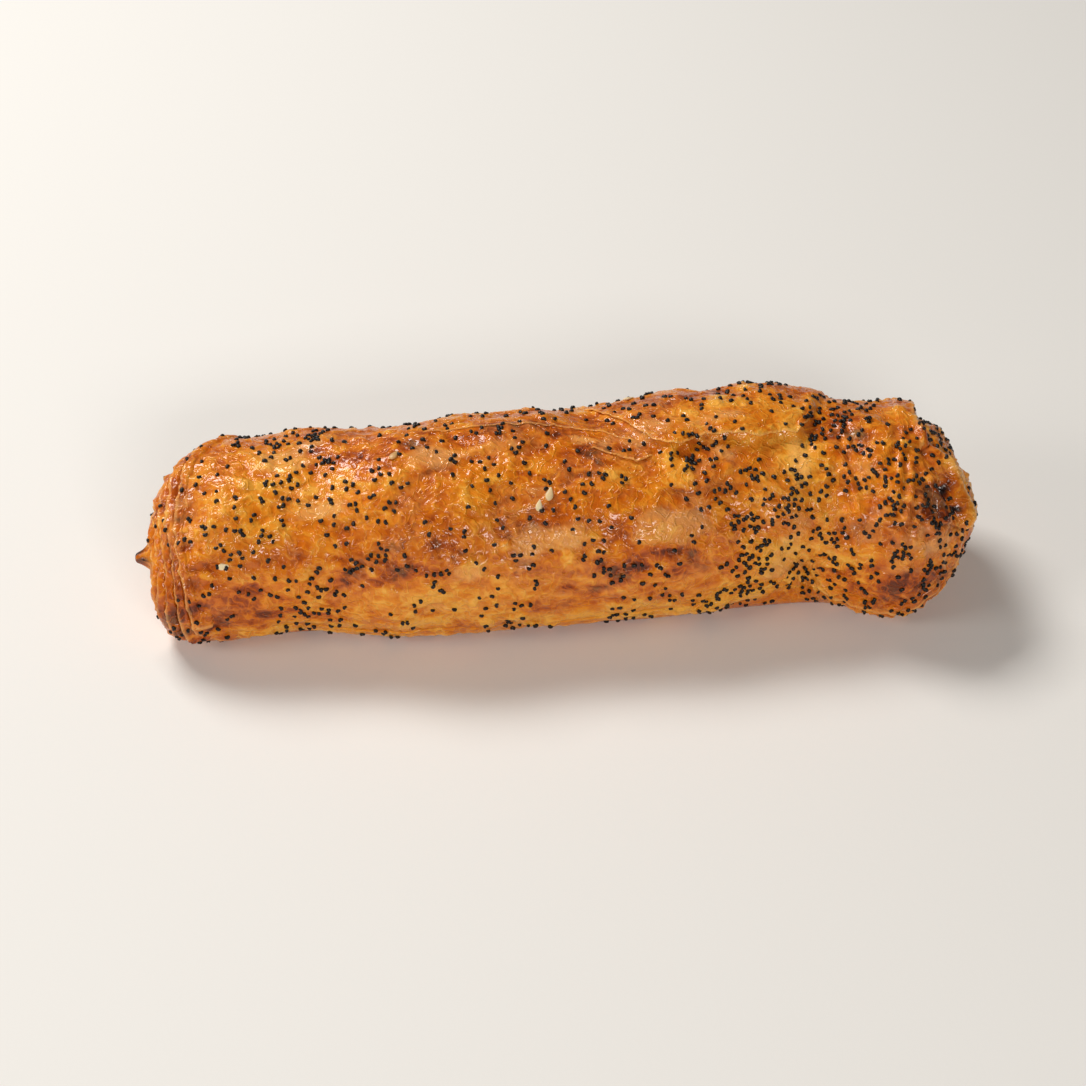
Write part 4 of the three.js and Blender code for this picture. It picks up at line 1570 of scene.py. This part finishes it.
@dataclass(frozen=True)
class SesameSeeds:
    """A few sesame seeds that strayed onto the crust, each by its place, its angle and its spin."""

    length: float = 3.3
    sunk: float = 0.1
    places: Triples = (
        (-76, 158, 5), (-37, 97, 60), (-3, 127, 75), (-5.5, 133, 80), (18, 52, 20), (41, 20, 120),
        (-24, 30, 150),
    )

    @staticmethod
    def teardrop() -> tuple[np.ndarray, Faces]:
        """Model one flat, pointed seed, one unit long."""
        add = bpy.ops.mesh.primitive_ico_sphere_add
        points, faces = taken(primitive("sesame_teardrop", add, subdivisions=3, radius=0.5))
        taper = 1 - 0.55 * smooth(points[:, 0], -0.2, 0.5)
        points[:, 1] *= 0.58 * taper
        points[:, 2] *= 0.26 * taper
        return points, faces

    def build(self, scatter: Scatter, finish: bpy.types.Material) -> bpy.types.Object:
        """Copy the teardrop to each place, as one mesh."""
        seed, faces = self.teardrop()
        found = [scatter.land(x, math.radians(angle)) for x, angle, _ in self.places]
        points, tops = (np.array(column) for column in zip(*found))
        spins = np.radians([spin for _, _, spin in self.places])
        return copies("sesame_seeds", seed, faces, points, tops, scatter.random, finish,
                      length=self.length, sunk=self.sunk, spins=spins)


def taken(piece: bpy.types.Object) -> tuple[np.ndarray, Faces]:
    """Take a piece's vertices and faces, and remove the piece."""
    points, faces = corners(piece), [tuple(face.vertices) for face in piece.data.polygons]
    bpy.data.meshes.remove(piece.data)
    return points, faces


def copies(name: str, shape: np.ndarray, faces: Faces, points: np.ndarray, tops: np.ndarray,
           random: np.random.Generator, finish: bpy.types.Material, *, length: float, sunk: float,
           spins: np.ndarray | None = None, sizes: Span = (0.84, 1.12)) -> bpy.types.Object:
    """Join many turned copies of one small shape in one mesh.

    Args:
        name: The piece's name.
        shape: The vertices of the shape, one unit long along X, with its top along Z.
        faces: Its faces.
        points: Where each copy rests, in the frame's millimetres.
        tops: The way that each copy's top faces.
        random: Draws the sizes, shades and, unless they are given, the spins.
        finish: The copies' material.
        length: The length of a copy, in millimetres.
        sunk: How deep a copy sits, as a share of its length.
        spins: Each copy's turn about its top, in radians from the roll's length.
        sizes: The smallest and largest share of the length that a copy has.

    Returns:
        The joined piece.
    """
    count = len(points)
    spins = random.uniform(0, 2 * math.pi, count) if spins is None else spins
    scales = length * random.uniform(*sizes, (count, 1, 1))
    side = unit(np.cross(tops, np.array([1.0, 0.0, 0.0])))
    ahead = np.cross(side, tops)
    turned = ahead * np.cos(spins)[:, None] + side * np.sin(spins)[:, None]
    axes = np.stack([turned, np.cross(tops, turned), tops], 1)
    lift = (-shape[:, 2].min() - sunk) * scales
    vertices = (shape[None] * scales) @ axes + points[:, None] + tops[:, None] * lift
    starts = range(0, count * len(shape), len(shape))
    mesh = bpy.data.meshes.new(name)
    mesh.from_pydata((vertices.reshape(-1, 3) * MM).tolist(), [],
                     [tuple(start + v for v in face) for start in starts for face in faces])
    piece = bpy.data.objects.new(name, mesh)
    bpy.context.scene.collection.objects.link(piece)
    paint(piece, "shade", np.repeat(random.uniform(0, 1, count) ** 2, len(shape)))
    return dressed(piece, finish)


# ---- The studio ----

@dataclass(frozen=True)
class Lamp:
    """A soft rectangular light that faces the roll."""

    name: str
    place: tuple[float, float, float]
    size: Span
    power: float
    colour: str = "FFFCF8"

    def hang(self) -> None:
        """Hang the light in its place."""
        lamp = bpy.data.lights.new(self.name, "AREA")
        lamp.shape = "RECTANGLE"
        lamp.size, lamp.size_y = self.size
        lamp.energy = self.power
        lamp.color = linear(self.colour)[:3]
        holder = bpy.data.objects.new(self.name, lamp)
        holder.location = self.place
        holder.rotation_euler = (-Vector(self.place)).to_track_quat("-Z", "Y").to_euler()
        bpy.context.scene.collection.objects.link(holder)


@dataclass(frozen=True)
class Studio:
    """A plain pale floor, soft light and the camera."""

    pitch: float = 40.0
    azimuth: float = -4.5
    distance: float = 0.5466
    lens: float = 79.72
    target: tuple[float, float, float] = (-0.004, -0.0135, 0.022)
    floor_size: float = 4.0
    air: str = "FFFAF4"
    air_strength: float = 0.12
    lamps: tuple[Lamp, ...] = (
        Lamp("window", (-0.45, 0.55, 0.9), (0.5, 0.35), 10.0),
        Lamp("front", (0.15, -1.0, 0.55), (0.5, 0.2), 5.2),
        Lamp("left", (-0.9, -0.3, 0.5), (0.4, 0.3), 2.8),
    )

    def build(self) -> None:
        """Build the floor, the lights and the camera."""
        add = bpy.ops.mesh.primitive_plane_add
        floor = primitive("floor", add, size=self.floor_size, location=(0, 0, 0))
        floor.data.materials.append(MattPaint().material())
        for lamp in self.lamps:
            lamp.hang()
        world = bpy.data.worlds.new("studio")
        world.use_nodes = True
        background = world.node_tree.nodes["Background"].inputs
        background["Color"].default_value = linear(self.air)
        background["Strength"].default_value = self.air_strength
        bpy.context.scene.world = world
        bpy.context.scene.view_settings.view_transform = "Standard"
        self.camera()

    def camera(self) -> None:
        """Set the camera up at the angle that the roll is seen from."""
        pitch, azimuth = math.radians(self.pitch), math.radians(self.azimuth)
        sideways, forwards = math.sin(azimuth) * math.cos(pitch), math.cos(azimuth) * math.cos(pitch)
        back = Vector((sideways, -forwards, math.sin(pitch)))
        body = bpy.data.cameras.new("camera")
        body.lens = self.lens
        holder = bpy.data.objects.new("camera", body)
        holder.location = Vector(self.target) + back * self.distance
        holder.rotation_euler = (-back).to_track_quat("-Z", "Y").to_euler()
        bpy.context.scene.collection.objects.link(holder)
        bpy.context.scene.camera = holder


def keep(pieces: list[bpy.types.Object]) -> None:
    """Tie pieces to the frame and report them."""
    for piece in pieces:
        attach(piece, BODY)
        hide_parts(NODE)
        LOG.info("%s: %d faces", piece.name, len(piece.data.polygons))


def main() -> None:
    """Build the roll, its seeds and the studio."""
    logging.basicConfig(level=logging.INFO, format="%(message)s")
    filo = BakedFilo().material()
    relief = CrustRelief()
    roll = Roll(relief)
    crust = Crust().build(roll, filo)
    sheets = LooseSheets(relief.form, relief).build(roll, filo)
    dough = [crust, *sheets]
    scatter = Scatter(roll, dough, seed=11)
    sesame = SesameSeeds().build(scatter, SesameSeedHull().material())
    poppy = PoppySeeds().build(scatter, PoppySeedHull().material())
    keep([*dough, sesame, poppy])
    Studio().build()


if __name__ == "__main__":
    main()
